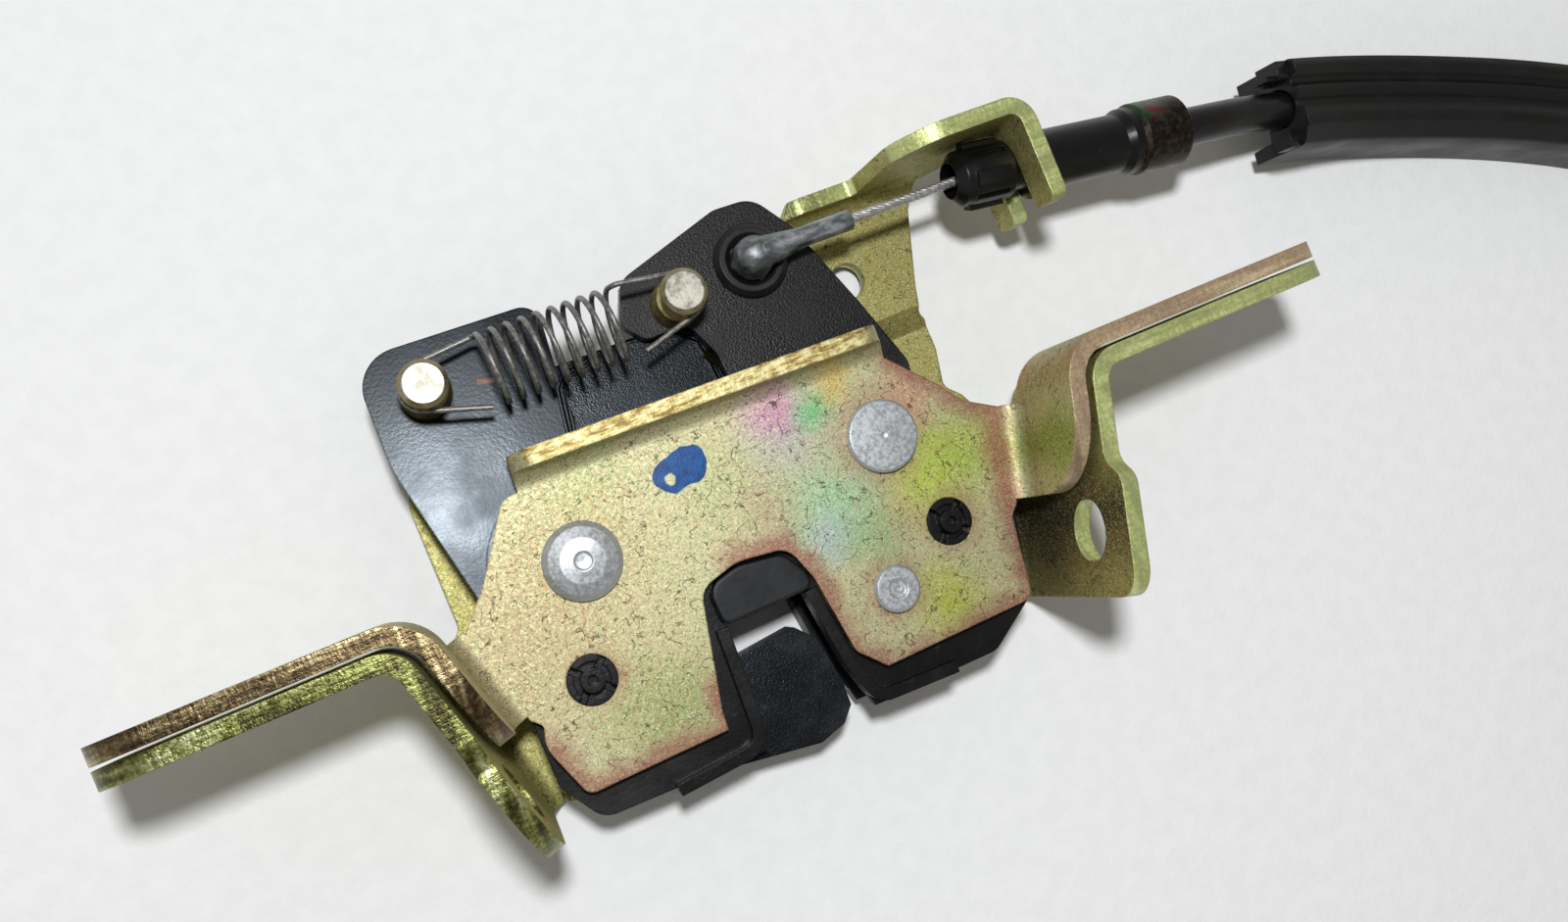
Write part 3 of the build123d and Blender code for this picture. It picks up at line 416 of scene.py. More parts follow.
def film_colour(tree, where, tone, tints):
    """One film tone with wide tints, fine patches, specks and hairlines, and the specks' noise."""
    natural = wobbled(tree, where, 120.0, 6.0)
    colour = screen(*tone)
    for x, y, reach, share, tint in tints:
        spot = sums(tree, "MULTIPLY", near(tree, natural, x, y, reach), share)
        colour = toned(tree, spot, colour, tint)
    patches = noise(tree, where, 1200.0, 4.0, 0.75)
    colour = toned(tree, ramp(tree, patches, 0.5, 0.64, 0.0, 0.4), colour, WARM_PATCH)
    colour = toned(tree, ramp(tree, patches, 0.48, 0.36, 0.0, 0.5), colour, FRESH_PATCH)
    specks = noise(tree, where, 3300.0, 2.0, 0.7)
    pits = noise(tree, where, 2900.0, 3.0, 0.7)
    colour = toned(tree, ramp(tree, specks, 0.52, 0.68, 0.0, 0.65), colour, LIGHT_SPECK)
    colour = toned(tree, ramp(tree, pits, 0.46, 0.33, 0.0, 0.7), colour, DARK_SPECK)
    curly = wobbled(tree, where, 420.0, 2.2)
    wide_hairs = hairlines(tree, curly, 170.0, 0.009, 0.44)
    fine_hairs = hairlines(tree, curly, 520.0, 0.022, 0.5)
    hairs = sums(tree, "MULTIPLY", sums(tree, "MAXIMUM", wide_hairs, fine_hairs), 0.8)
    return toned(tree, hairs, colour, HAIR), specks


print("film tones ready")

# %% One plated sheet
SHEET_METAL = 0.8


def plated_sheet(name, tone, tints, edge_tones, pale_edge, top, grain_shift):
    """Chromate plating with its tints and banded cut edges; top is the height of the flat face."""
    finish, tree, shader, where = blank_finish(name, SHEET_METAL, 0.45)
    film, specks = film_colour(tree, where, tone, tints)
    edge = edge_share(tree, where, top)
    bands = edge_bands(tree, where)
    stripes = pressed_stripes(tree, where)
    crystal = noise(tree, where, 1700.0, 3.0, 0.7)
    shares = ((bands, 0.6), (crystal, 0.25), (stripes, 0.15))
    pattern = sums(tree, "ADD", *(sums(tree, "MULTIPLY", *pair) for pair in shares))
    cut, pale = cut_colour(tree, where, pattern, edge_tones, pale_edge)
    matt = sums(tree, "MULTIPLY", pale, edge, 0.75)
    grain = noise(tree, vectors(tree, "ADD", where, grain_shift), 1500.0, 3.0, 0.65)
    film_rough = ramp(tree, grain, 0.3, 0.7, 0.5, 0.64)
    edge_rough = ramp(tree, crystal, 0.3, 0.7, 0.22, 0.42)
    drive(
        tree,
        shader,
        Base_Color=blend_colours(tree, edge, film, cut),
        Metallic=sums(tree, "SUBTRACT", SHEET_METAL, matt),
        Roughness=blend_values(tree, edge, film_rough, edge_rough),
    )
    ridges = sums(tree, "MULTIPLY", sums(tree, "ADD", stripes, crystal), edge)
    waves = sums(tree, "MULTIPLY", bands, 2.5, edge)
    height = sums(tree, "ADD", sums(tree, "MULTIPLY", specks, 0.3), ridges, waves)
    relief(tree, shader, height, 0.07 * MM, 0.4 * MM)
    return finish, tree, shader, where


print("sheet finish ready")

# %% The back plate's plating
BACK_FILM = (176, 172, 104)
BACK_TINTS_AND_DARK_REFLECTION = [
    (44.0, 32.0, 24.0, 0.35, (132, 122, 62)),
    (50.0, -28.0, 16.0, 0.6, (110, 74, 42)),
    # painted dark reflection: the ear is darkened towards black where it mirrors the dark room
    (50.5, -24.0, 12.0, 0.95, (30, 23, 15)),
    (60.0, 16.0, 14.0, 0.4, (176, 168, 100)),
]
BACK_EDGES = [(40, 36, 22), (100, 100, 54), (164, 172, 96), (228, 232, 184)]
BACK_PALE_EDGE = (226, 238, 164)
BACK_TOP = 2.8
back_finish = plated_sheet(
    "zinc_back_sheet",
    BACK_FILM,
    BACK_TINTS_AND_DARK_REFLECTION,
    BACK_EDGES,
    BACK_PALE_EDGE,
    BACK_TOP,
    (0.41, 0.13, 0.0),
)[0]
print("back plate tints", len(BACK_TINTS_AND_DARK_REFLECTION))

# %% The front plate's plating
FRONT_FILM = (196, 193, 154)
FRONT_TINTS = [
    (-38.0, -6.0, 28.0, 0.5, (176, 150, 112)),
    (-22.0, 12.0, 12.0, 0.5, (166, 178, 122)),
    (-2.0, 3.0, 10.0, 0.45, (176, 190, 138)),
    (-20.0, -27.0, 12.0, 0.6, (134, 152, 82)),
    (-24.0, 2.0, 16.0, 0.4, (176, 156, 112)),
    (14.0, -8.0, 13.0, 0.9, (158, 208, 170)),
    (12.0, -13.0, 7.0, 0.6, (176, 190, 216)),
    (26.0, -13.0, 7.0, 0.55, (206, 150, 128)),
    (-27.0, -24.0, 12.0, 0.45, (150, 164, 96)),
    (11.5, 7.0, 12.0, 0.8, (178, 184, 188)),
    (10.4, 11.0, 8.0, 0.85, (206, 146, 184)),
    (17.4, 8.6, 6.0, 0.85, (96, 190, 132)),
    (22.4, 12.0, 6.0, 0.8, (216, 186, 96)),
    (33.0, -9.0, 13.0, 0.9, (190, 212, 70)),
    (27.0, -29.0, 10.0, 0.85, (184, 196, 58)),
    (4.5, -4.5, 8.0, 0.5, (170, 146, 120)),
    (20.0, -15.0, 10.0, 0.5, (130, 178, 120)),
    (39.5, -7.0, 10.0, 0.75, (166, 192, 66)),
    (34.0, 4.5, 8.0, 0.6, (214, 142, 128)),
    (52.0, 2.0, 7.0, 0.8, (190, 120, 36)),
    (49.5, -11.0, 8.0, 0.8, (120, 146, 34)),
]
FRONT_EDGES = [(44, 36, 26), (112, 92, 66), (172, 156, 112), (238, 230, 186)]
FRONT_PALE_EDGE = (226, 196, 166)
FRONT_TOP = 18.0
front_finish, tree, shader, where = plated_sheet(
    "zinc_front_sheet",
    FRONT_FILM,
    FRONT_TINTS,
    FRONT_EDGES,
    FRONT_PALE_EDGE,
    FRONT_TOP,
    (0.07, 0.59, 0.0),
)
plating = driven_by(shader, "Base Color")
height = axis_of(tree, where, 2)
print("front plate tints", len(FRONT_TINTS))

# %% [markdown]
# The film is thinner along the front plate's outline and round its holes, where it turns reddish
# brown. The outline is given as corners, and the distance to its nearest side fades the tone out.
# The lip along the plate's top is a cut edge of its own, rubbed bright in streaks.

# %% The front plate's brown rims
RIGHT_RIM = [
    (33, 11.5), (39.4, 4.4), (44.6, -1), (46.5, -3), (42.5, -22), (40.6, -35), (14, -36.4),
    (8.6, -30.6), (6.8, -17), (4.6, -10.8), (-4, -9.6),
]
LEFT_RIM = [(-14.6, -27), (-14.9, -33.4), (-39, -33.4), (-42.4, -24)]
FRONT_SIDES = [*zip(RIGHT_RIM, RIGHT_RIM[1:]), *zip(LEFT_RIM, LEFT_RIM[1:])]
HALOS = [(26.5, 0, 11.0), (18.8, -24, 7.5), (32.8, -17.5, 7.5), (-31.2, -17.5, 6.5)]
TOP_FACE = (17.6, 17.9, 18.3, 18.9)
RIM_REACH, RIM_WANDER = 4.4, 5.0
RIM_TONE = (150, 92, 84)
uneven = sums(tree, "SUBTRACT", noise(tree, where, 260.0, 4.0, 0.6), 0.5)
wander = sums(tree, "MULTIPLY", uneven, RIM_WANDER * MM)
side_gap = sums(tree, "ADD", side_distance(tree, where, FRONT_SIDES), wander)
outline_rim = ramp(tree, side_gap, 0.0, RIM_REACH * MM, 0.9, 0.0)
hole_rims = round_rims(tree, wobbled(tree, where, 200.0, 3.0), HALOS)
broken = ramp(tree, noise(tree, where, 2600.0), 0.3, 0.6, 0.5, 0.95)
rim = sums(tree, "MAXIMUM", outline_rim, hole_rims)
rim = sums(tree, "MULTIPLY", rim, band(tree, height, TOP_FACE), broken)
plating = toned(tree, rim, plating, RIM_TONE)
print("rim sides", len(FRONT_SIDES), "rims of holes", len(HALOS))

# %% The streaks on the lip's top
LIP_TOP = (21.9, 22.2, 22.9, 23.2)
LIP_HALF = 38
LIP_TONES = [(146, 122, 72), (200, 184, 122), (230, 222, 174)]
aside = sums(tree, "ABSOLUTE", axis_of(tree, where, 0))
in_length = ramp(tree, aside, LIP_HALF * MM, (LIP_HALF - 2) * MM)
on_lip = sums(tree, "MULTIPLY", band(tree, height, LIP_TOP), in_length)
streaky = noise(tree, squeezed(tree, where, (0.3, 1, 1)), 1300.0, 4.0, 0.7)
lip_colour = tone_bar(tree, ramp(tree, streaky, 0.36, 0.62), LIP_TONES, (0.0, 0.45, 1.0))
plating = blend_colours(tree, on_lip, plating, lip_colour)
lip_rough = blend_values(tree, on_lip, driven_by(shader, "Roughness"), 0.56)
print("lip tones", len(LIP_TONES))

# %% The blue paint dab
DAB_BLOTS = [(-9.0, 7.0, 4.4), (-5.2, 7.7, 5.4)]
DAB_BARE_SPOT = (-8.7, 6.6, 1.9)
ragged = wobbled(tree, where, 260.0, 1.6)
blots = sums(tree, "ADD", *(near(tree, ragged, *blot) for blot in DAB_BLOTS))
bare = ramp(tree, near(tree, ragged, *DAB_BARE_SPOT), 0.35, 0.6)
painted = sums(tree, "SUBTRACT", 1.0, bare)
dab = sums(tree, "MULTIPLY", ramp(tree, blots, 0.36, 0.42), painted)
brushed = ramp(tree, noise(tree, ragged, 500.0), 0.35, 0.65)
paint = toned(tree, brushed, screen(0, 66, 132), (4, 90, 162))
unpainted = sums(tree, "SUBTRACT", 1.0, dab)
drive(
    tree,
    shader,
    Base_Color=blend_colours(tree, dab, plating, paint),
    Metallic=sums(tree, "MULTIPLY", driven_by(shader, "Metallic"), unpainted),
    Roughness=blend_values(tree, dab, lip_rough, 0.26),
)
print("dab blots", len(DAB_BLOTS))

# %% [markdown]
# ## Bare metals
# Rivets, posts, spring wire and the cast cable end are all metal, but each was made another way:
# upset cold, turned and plated, drawn, or cast. One function gives them the shared parts, a base
# colour with scuffs, and takes the scale and direction of the marks as numbers.


# %% Metal finishes
def plain_metal(name, base, worn, rough, scale, depth, squeeze=(1, 1, 1), metal=0.95):
    """Metal with patches of wear and fine relief; squeeze stretches the marks along an axis."""
    finish, tree, shader, where = blank_finish(name, metal, rough)
    marks = noise(tree, squeezed(tree, where, squeeze), scale, 4.0, 0.65)
    patches = ramp(tree, noise(tree, where, scale * 0.22), 0.5, 0.7, 0.0, 0.35)
    colour = toned(tree, ramp(tree, marks, 0.3833, 0.6667), screen(*base), worn)
    drive(
        tree,
        shader,
        Base_Color=toned(tree, patches, colour, base),
        Roughness=ramp(tree, marks, 0.3, 0.7, rough * 0.75, rough * 1.35),
    )
    relief(tree, shader, marks, depth * MM, 0.25 * MM)
    return finish, tree, shader, where


rivet_finish = plain_metal(
    "rivet_zinc", (188, 194, 198), (203, 208, 211), 0.4, 1600.0, 0.02, metal=0.72
)[0]
cast_finish = plain_metal(
    "zinc_casting", (112, 118, 122), (178, 184, 188), 0.46, 420.0, 0.18, (0.45, 1, 1)
)[0]
spring_finish = plain_metal(
    "spring_wire", (112, 112, 110), (160, 158, 154), 0.42, 1200.0, 0.02, metal=0.72
)[0]
strand_finish = plain_metal(
    "strand_wire", (184, 186, 184), (226, 227, 224), 0.34, 1400.0, 0.02, metal=0.8
)[0]
print("metals ready")

# %% Turned posts with a brassy rim
POST_TOP = 24.75
BRASSY = (168, 150, 88)
post_finish, tree, shader, where = plain_metal(
    "post_nickel", (132, 129, 118), (184, 181, 170), 0.42, 500.0, 0.06
)
below_top = ramp(tree, axis_of(tree, where, 2), POST_TOP * MM, (POST_TOP - 0.25) * MM, 0.0, 0.75)
drive(tree, shader, Base_Color=toned(tree, below_top, driven_by(shader, "Base Color"), BRASSY))
print("post finish ready")

# %% [markdown]
# ## Black skins and plastics
# The claw and the lever are steel with a moulded black skin, and the guides, bumper, bush and cable
# fitting are plastic. They differ by their grain and gloss, so each gets its own grain size and
# roughness, and pale scuffs where it has been handled.


# %% Black moulded finishes
def moulded(name, base, scuff, rough, grain, depth, scuffs=0.35, edge=0.3, specular=0.4):
    """Black moulded plastic: grain relief, cloudy gloss and thin pale scuffs."""
    finish, tree, shader, where = blank_finish(name, 0.0, rough, specular)
    cloud = noise(tree, where, 90.0, 4.0, 0.6)
    marks = hairlines(tree, squeezed(tree, where, (0.5, 1.6, 1)), 260.0, 0.012, 0.56)
    worn = sums(tree, "ADD", marks, ramp(tree, cloud, 0.5, 0.8))
    share = sums(tree, "MULTIPLY", worn, scuffs)
    drive(
        tree,
        shader,
        Base_Color=toned(tree, share, screen(*base), scuff),
        Roughness=ramp(tree, cloud, 0.3, 0.7, rough * 0.82, rough * 1.2),
    )
    relief(tree, shader, noise(tree, where, grain, 2.0, 0.6), depth * MM, edge * MM)
    return finish, tree, shader, where


lever_finish = moulded(
    "lever_skin", (13, 13, 15), (56, 56, 58), 0.4, 2600.0, 0.12, specular=0.32
)[0]
guide_finish = moulded(
    "guide_plastic", (13, 13, 15), (60, 59, 58), 0.36, 1500.0, 0.04, specular=0.32
)[0]
bumper_finish = moulded(
    "bumper_plastic", (20, 23, 27), (42, 46, 52), 0.38, 700.0, 0.02, 0.3, 0.5
)[0]
bush_finish = moulded("bush_plastic", (14, 14, 16), (44, 44, 46), 0.4, 900.0, 0.02)[0]
fitting_finish = moulded("fitting_plastic", (12, 12, 14), (50, 50, 52), 0.32, 800.0, 0.03)[0]
sheath_finish = moulded("sheath_plastic", (14, 14, 15), (46, 46, 48), 0.3, 1600.0, 0.02)[0]
sleeve_finish = moulded("sleeve_rubber", (13, 14, 15), (34, 36, 38), 0.46, 1100.0, 0.04)[0]
print("moulded finishes ready")

# %% [markdown]
# The claw's skin has two layers: a coarse one on its tooth and jaw, and a smooth one above, divided
# by a groove with a bead beside it; the groove is darkened as painted shade. The smooth face is not
# quite level, so its sheen lies off the place where a level face would put it. Adding a slope to
# the relief's height leans the shading by that much without a change of shape.

# %% The claw's skin
SKIN_DEPTH = 0.02
LEAN_X, LEAN_Y = -0.018, -0.06
COARSE_BELOW = 12.6
JAW_LINE = [
    (-20.2, 14.0), (-20.0, 20.0), (-18.9, 26.6), (-16.9, 28.8), (-12.9, 29.8), (-7.2, 30.9),
    (-2.7, 30.5), (3.0, 28.9), (5.7, 26.4), (6.4, 22.7), (6.7, 18.0),
]
BEAD = (0.3, 0.5, 0.7, 0.95)
claw_finish, tree, shader, where = moulded(
    "claw_skin", (9, 10, 12), (84, 90, 98), 0.29, 1700.0, SKIN_DEPTH, 0.2, specular=0.28
)
shader.inputs["Specular Tint"].default_value = (0.8, 0.91, 1.0, 1.0)
height = axis_of(tree, where, 2)
low_face = ramp(tree, height, (COARSE_BELOW - 0.4) * MM, COARSE_BELOW * MM, 1.0, 0.0)
coarse = noise(tree, where, 3400.0, 2.0, 0.55)
spots = sums(tree, "MULTIPLY", ramp(tree, coarse, 0.58, 0.72, 0.0, 0.22), low_face)
skin = toned(tree, spots, driven_by(shader, "Base Color"), (92, 92, 94))
from_line = side_distance(tree, where, [*zip(JAW_LINE, JAW_LINE[1:])])
# painted shade: the groove's mask darkens the skin towards black as the shade in it, and also sinks
# the relief
groove_and_shade = ramp(tree, from_line, 0.12 * MM, 0.34 * MM, 1.0, 0.0)
skin = toned(tree, sums(tree, "MULTIPLY", groove_and_shade, 0.9), skin, (3, 3, 4))
print("jaw line sides", len(JAW_LINE) - 1)

# %% The claw's relief
bump = driven_by(shader, "Normal").node
fine = driven_by(bump, "Height")
raised = sums(tree, "MULTIPLY", band(tree, from_line, BEAD), 5.0)
sunk = sums(tree, "MULTIPLY", groove_and_shade, -14.0)
slope = [lean / (SKIN_DEPTH * MM) for lean in (LEAN_X, LEAN_Y)]
lean = vectors(tree, "DOT_PRODUCT", where, (*slope, 0))
rough_skin = sums(tree, "MULTIPLY", coarse, 2.4, low_face)
tree.links.new(sums(tree, "ADD", fine, raised, sunk, lean, rough_skin), bump.inputs["Height"])
print("claw relief ready")

# %% The orange mark on the claw
MARK_AT = (-29.4, 31.95, 14.6)
MARK_TURN = math.radians(16)
from_mark = vectors(tree, "SUBTRACT", where, [c * MM for c in MARK_AT])
turned_back = put(
    tree, "ShaderNodeVectorRotate", {"Vector": from_mark, "Angle": MARK_TURN}
).outputs[0]
long_way = sums(tree, "ABSOLUTE", axis_of(tree, turned_back, 0))
short_way = sums(tree, "ABSOLUTE", axis_of(tree, turned_back, 1))
mark = sums(
    tree,
    "MULTIPLY",
    ramp(tree, long_way, 1.25 * MM, 1.4 * MM, 1.0, 0.0),
    ramp(tree, short_way, 0.34 * MM, 0.44 * MM, 1.0, 0.0),
    ramp(tree, height, (MARK_AT[2] - 0.3) * MM, (MARK_AT[2] - 0.1) * MM),
)
drive(tree, shader, Base_Color=toned(tree, mark, skin, (128, 74, 34)))
print("mark at", MARK_AT)

# %% The crimped ferrule
SHIMMER_AT = (94.5, 35.5, 4.5)
ferrule_finish, tree, shader, where = plain_metal(
    "ferrule_brown", (46, 41, 37), (76, 68, 60), 0.36, 900.0, 0.03
)
on_top = ramp(tree, axis_of(tree, where, 2), 19 * MM, 22 * MM)
spot = sums(tree, "MULTIPLY", near(tree, where, *SHIMMER_AT), on_top, 0.7)
hue = ramp(tree, noise(tree, where, 420.0, 2.0), 0.45, 0.55)
shimmer = toned(tree, hue, screen(148, 70, 84), (70, 140, 96))
brown = driven_by(shader, "Base Color")
drive(tree, shader, Base_Color=blend_colours(tree, spot, brown, shimmer))
print("ferrule finish ready")

# %% Finishes onto the CAD parts
FINISHES = {
    "back_plate": back_finish,
    "front_plate": front_finish,
    "front_guide": guide_finish,
    "back_guide": guide_finish,
    "striker_bumper": bumper_finish,
    "claw": claw_finish,
    "claw_spring_post": post_finish,
    "pawl_spring_post": post_finish,
    "pawl_lever": lever_finish,
    "eyelet_bush": bush_finish,
    "cable_end": cast_finish,
    "conduit_fitting": fitting_finish,
    "claw_rivet": rivet_finish,
    "pawl_rivet": rivet_finish,
    "stop_rivet": rivet_finish,
    "crimp_ferrule": ferrule_finish,
    "far_ferrule": ferrule_finish,
    "far_fitting": fitting_finish,
    "far_nipple": cast_finish,
}


def dress(piece, finish):
    """Gives a piece one finish."""
    piece.data.materials.clear()
    piece.data.materials.append(finish)


for name, finish in FINISHES.items():
    dress(nodes[name], finish)
dress(sheath, sheath_finish)
print("dressed", len(FINISHES), "CAD parts")

# %% [markdown]
# ## Geometry Nodes that follow a rule
# A spring, a wire rope and an extruded rubber profile all follow a rule along a line, so each is a
# Geometry Nodes tree with its sizes as named inputs. A tree is run once, its result is kept as a
# plain mesh in the place where the CAD part is, and the modifier is dropped.


# %% Helpers for geometry trees
def new_tree(name, sizes):
    """A geometry tree with a named input for each size and for its finish, and its end nodes."""
    tree = bpy.data.node_groups.new(name, "GeometryNodeTree")
    inside = tree.interface.new_socket
    inside("Geometry", in_out="INPUT", socket_type="NodeSocketGeometry")
    for label, kind in {**sizes, "Finish": "Material"}.items():
        inside(label, in_out="INPUT", socket_type="NodeSocket" + kind)
    inside("Geometry", in_out="OUTPUT", socket_type="NodeSocketGeometry")
    return tree, put(tree, "NodeGroupInput"), put(tree, "NodeGroupOutput")


def close_tree(tree, given, end, curve, profile):
    """Sweeps the profile along the curve, gives it the finish, and ends the tree."""
    swept = put(tree, "GeometryNodeCurveToMesh", {0: curve, 1: profile, "Fill Caps": True})
    real = put(tree, "GeometryNodeRealizeInstances", {0: swept.outputs[0]})
    finished = put(
        tree, "GeometryNodeSetMaterial", {0: real.outputs[0], "Material": given.outputs["Finish"]}
    )
    tree.links.new(finished.outputs[0], end.inputs[0])


def bake(tree, name, start_mesh, values, place, finish):
    """Runs a tree on a mesh and keeps the result as a plain mesh piece in the row frame."""
    owner = bpy.data.objects.new(name + "_maker", start_mesh)
    modifier = owner.modifiers.new(tree.name, "NODES")
    modifier.node_group = tree
    sockets = [s for s in tree.interface.items_tree if s.in_out == "INPUT"]
    ids = {s.name: s.identifier for s in sockets}
    for label, value in {**values, "Finish": finish}.items():
        modifier[ids[label]] = value
    bpy.context.scene.collection.objects.link(owner)
    bpy.context.view_layer.update()
    seen = bpy.context.evaluated_depsgraph_get()
    mesh = bpy.data.meshes.new_from_object(owner.evaluated_get(seen))
    bpy.data.objects.remove(owner)
    mesh.transform(place)
    mesh.name = name
    piece = bpy.data.objects.new(name, mesh)
    bpy.context.scene.collection.objects.link(piece)
    dress(piece, finish)
    for face in mesh.polygons:
        face.material_index = 0
    print(name, "faces", len(mesh.polygons))
    return piece


def smooth(piece):
    """Shades a piece's faces as one round surface."""
    for face in piece.data.polygons:
        face.use_smooth = True


print("tree helpers ready")

# %% [markdown]
# ## The tension spring
# The spring hooks over two posts: the claw's on the left and the lever's on the right. Its coil is
# a helix, which the tree makes from a straight line by turning each point about it. Its two legs
# are drawn in code, because they bend round the posts, and the tree sweeps the whole with one wire.

# %% The spring's tree
SPRING_TURNS = 9
STEPS_PER_TURN = 36
spring_tree, given, end = new_tree(
    "coil_spring",
    {
        "Coil start": "Float",
        "Coil length": "Float",
        "Coil radius": "Float",
        "Coil drop": "Float",
        "Turns": "Float",
        "Wire radius": "Float",
    },
)
straight = put(spring_tree, "GeometryNodeCurvePrimitiveLine", {"End": (1, 0, 0)})
coil_points = SPRING_TURNS * STEPS_PER_TURN + 1
dense = put(
    spring_tree, "GeometryNodeResampleCurve", {0: straight.outputs[0], "Count": coil_points}
)
share = put(spring_tree, "GeometryNodeSplineParameter").outputs[0]
turned = sums(spring_tree, "MULTIPLY", share, given.outputs["Turns"], 2 * math.pi)
shift = sums(spring_tree, "MULTIPLY", share, given.outputs["Coil length"])
shift = sums(spring_tree, "ADD", shift, given.outputs["Coil start"])
radius = given.outputs["Coil radius"]
across = sums(spring_tree, "MULTIPLY", sums(spring_tree, "COSINE", turned), radius)
across = sums(spring_tree, "SUBTRACT", across, given.outputs["Coil drop"])
upward = sums(spring_tree, "MULTIPLY", sums(spring_tree, "SINE", turned), radius)
spot = put(spring_tree, "ShaderNodeCombineXYZ", {0: shift, 1: across, 2: upward})
coil = put(
    spring_tree, "GeometryNodeSetPosition", {0: dense.outputs[0], "Position": spot.outputs[0]}
)
legs = put(spring_tree, "GeometryNodeMeshToCurve", {0: given.outputs["Geometry"]})
joined = put(spring_tree, "GeometryNodeJoinGeometry", {0: coil.outputs[0]})
spring_tree.links.new(legs.outputs[0], joined.inputs[0])
wire_ring = put(
    spring_tree,
    "GeometryNodeCurvePrimitiveCircle",
    {"Resolution": 12, "Radius": given.outputs["Wire radius"]},
)
close_tree(spring_tree, given, end, joined.outputs[0], wire_ring.outputs[0])
print("spring tree nodes", len(spring_tree.nodes))

# %% The spring's legs
CLAW_POST = Vector((-38.6, 33.4, 21.3)) * MM
PAWL_POST = Vector((3.5, 32.9, 21.3)) * MM
LOOP_R, COIL_R, DROP, SPRING_WIRE_R = 3.7, 5.65, 0.85, 0.45
COIL_AT, COIL_TO = 9.8, 31.4
LOOP_FROM, LOOP_TO, LOOP_STEPS = 96, 253, 14
TAIL_LENGTH, TAIL_TURN = 10, math.radians(17)
LEG_BENDS = {1: 0.9, -1: 1.5}
SPAN = (PAWL_POST - CLAW_POST).length / MM


def leg_points(post_at, side, corner):
    """A leg from the coil's corner, round the post's far side, to a straight free tail."""
    points = [Vector(p) for p in corner]
    for step in range(LOOP_STEPS + 1):
        turn = math.radians(LOOP_FROM + step * (LOOP_TO - LOOP_FROM) / LOOP_STEPS)
        x = post_at + side * LOOP_R * math.cos(turn)
        points.append(Vector((x, LOOP_R * math.sin(turn), 0)))
    tail = Vector((side * math.cos(TAIL_TURN), -math.sin(TAIL_TURN), 0)) * TAIL_LENGTH
    points.append(points[-1] + tail)
    return points


def coil_corner(x, side):
    """The small bend between a leg and the coil; side is 1 at the claw's post, else -1."""
    top = COIL_R - DROP
    steps = [math.radians(a) for a in (0, 22, 45, 68, 90)]
    bend = side * LEG_BENDS[side]
    return [(x - bend * (1 - math.cos(a)), top, -bend * math.sin(a)) for a in steps]


left_leg = leg_points(0.0, 1, coil_corner(COIL_AT, 1))
right_leg = leg_points(SPAN, -1, coil_corner(COIL_TO, -1))
every = [p * MM for p in left_leg + right_leg]
leg_mesh = bpy.data.meshes.new("spring_legs")
split = len(left_leg)
pairs = [(i, i + 1) for i in range(len(every) - 1) if i + 1 != split]
leg_mesh.from_pydata([tuple(p) for p in every], pairs, [])
print("leg points", len(every), "span", round(SPAN, 2))

# %% The spring in its place
along = (PAWL_POST - CLAW_POST).normalized()
sideways = Vector((0, 0, 1)).cross(along)
spring_place = Matrix(
    (
        (along.x, sideways.x, 0, CLAW_POST.x),
        (along.y, sideways.y, 0, CLAW_POST.y),
        (along.z, sideways.z, 1, CLAW_POST.z),
        (0, 0, 0, 1),
    )
)
spring_sizes = {
    "Coil start": COIL_AT * MM,
    "Coil length": (COIL_TO - COIL_AT) * MM,
    "Coil radius": COIL_R * MM,
    "Coil drop": DROP * MM,
    "Turns": float(SPRING_TURNS),
    "Wire radius": SPRING_WIRE_R * MM,
}
spring = bake(spring_tree, "spring_of_wire", leg_mesh, spring_sizes, spring_place, spring_finish)
smooth(spring)

# %% [markdown]
# ## The stranded wire
# The cable's bare core is a rope of thin wires laid round a straight one. The tree bends one line
# into a helix, copies it round the axis by turning instances, and sweeps all of them with a thin
# round profile. It is used twice: between the cast end and the fitting, and at the far end.

# %% The wire rope's tree
ROPE_STEPS = 90
rope_tree, given, end = new_tree(
    "wire_rope",
    {
        "Length": "Float",
        "Rope radius": "Float",
        "Strand radius": "Float",
        "Strands": "Int",
        "Lay length": "Float",
    },
)
straight = put(rope_tree, "GeometryNodeCurvePrimitiveLine", {"End": (1, 0, 0)})
dense = put(
    rope_tree, "GeometryNodeResampleCurve", {0: straight.outputs[0], "Count": ROPE_STEPS}
)
share = put(rope_tree, "GeometryNodeSplineParameter").outputs[0]
reach = sums(rope_tree, "MULTIPLY", share, given.outputs["Length"])
turned = sums(rope_tree, "DIVIDE", reach, given.outputs["Lay length"])
turned = sums(rope_tree, "MULTIPLY", turned, 2 * math.pi)
strand_r = given.outputs["Strand radius"]
ring_r = sums(rope_tree, "SUBTRACT", given.outputs["Rope radius"], strand_r)
side_way = sums(rope_tree, "MULTIPLY", sums(rope_tree, "COSINE", turned), ring_r)
up_way = sums(rope_tree, "MULTIPLY", sums(rope_tree, "SINE", turned), ring_r)
spot = put(rope_tree, "ShaderNodeCombineXYZ", {0: reach, 1: side_way, 2: up_way})
strand = put(
    rope_tree, "GeometryNodeSetPosition", {0: dense.outputs[0], "Position": spot.outputs[0]}
)
seeds = put(
    rope_tree, "GeometryNodeMeshLine", {"Count": given.outputs["Strands"], "Offset": (0, 0, 0)}
)
number = put(rope_tree, "GeometryNodeInputIndex").outputs[0]
each = sums(rope_tree, "DIVIDE", 2 * math.pi, given.outputs["Strands"])
roll = put(rope_tree, "ShaderNodeCombineXYZ", {0: sums(rope_tree, "MULTIPLY", number, each)})
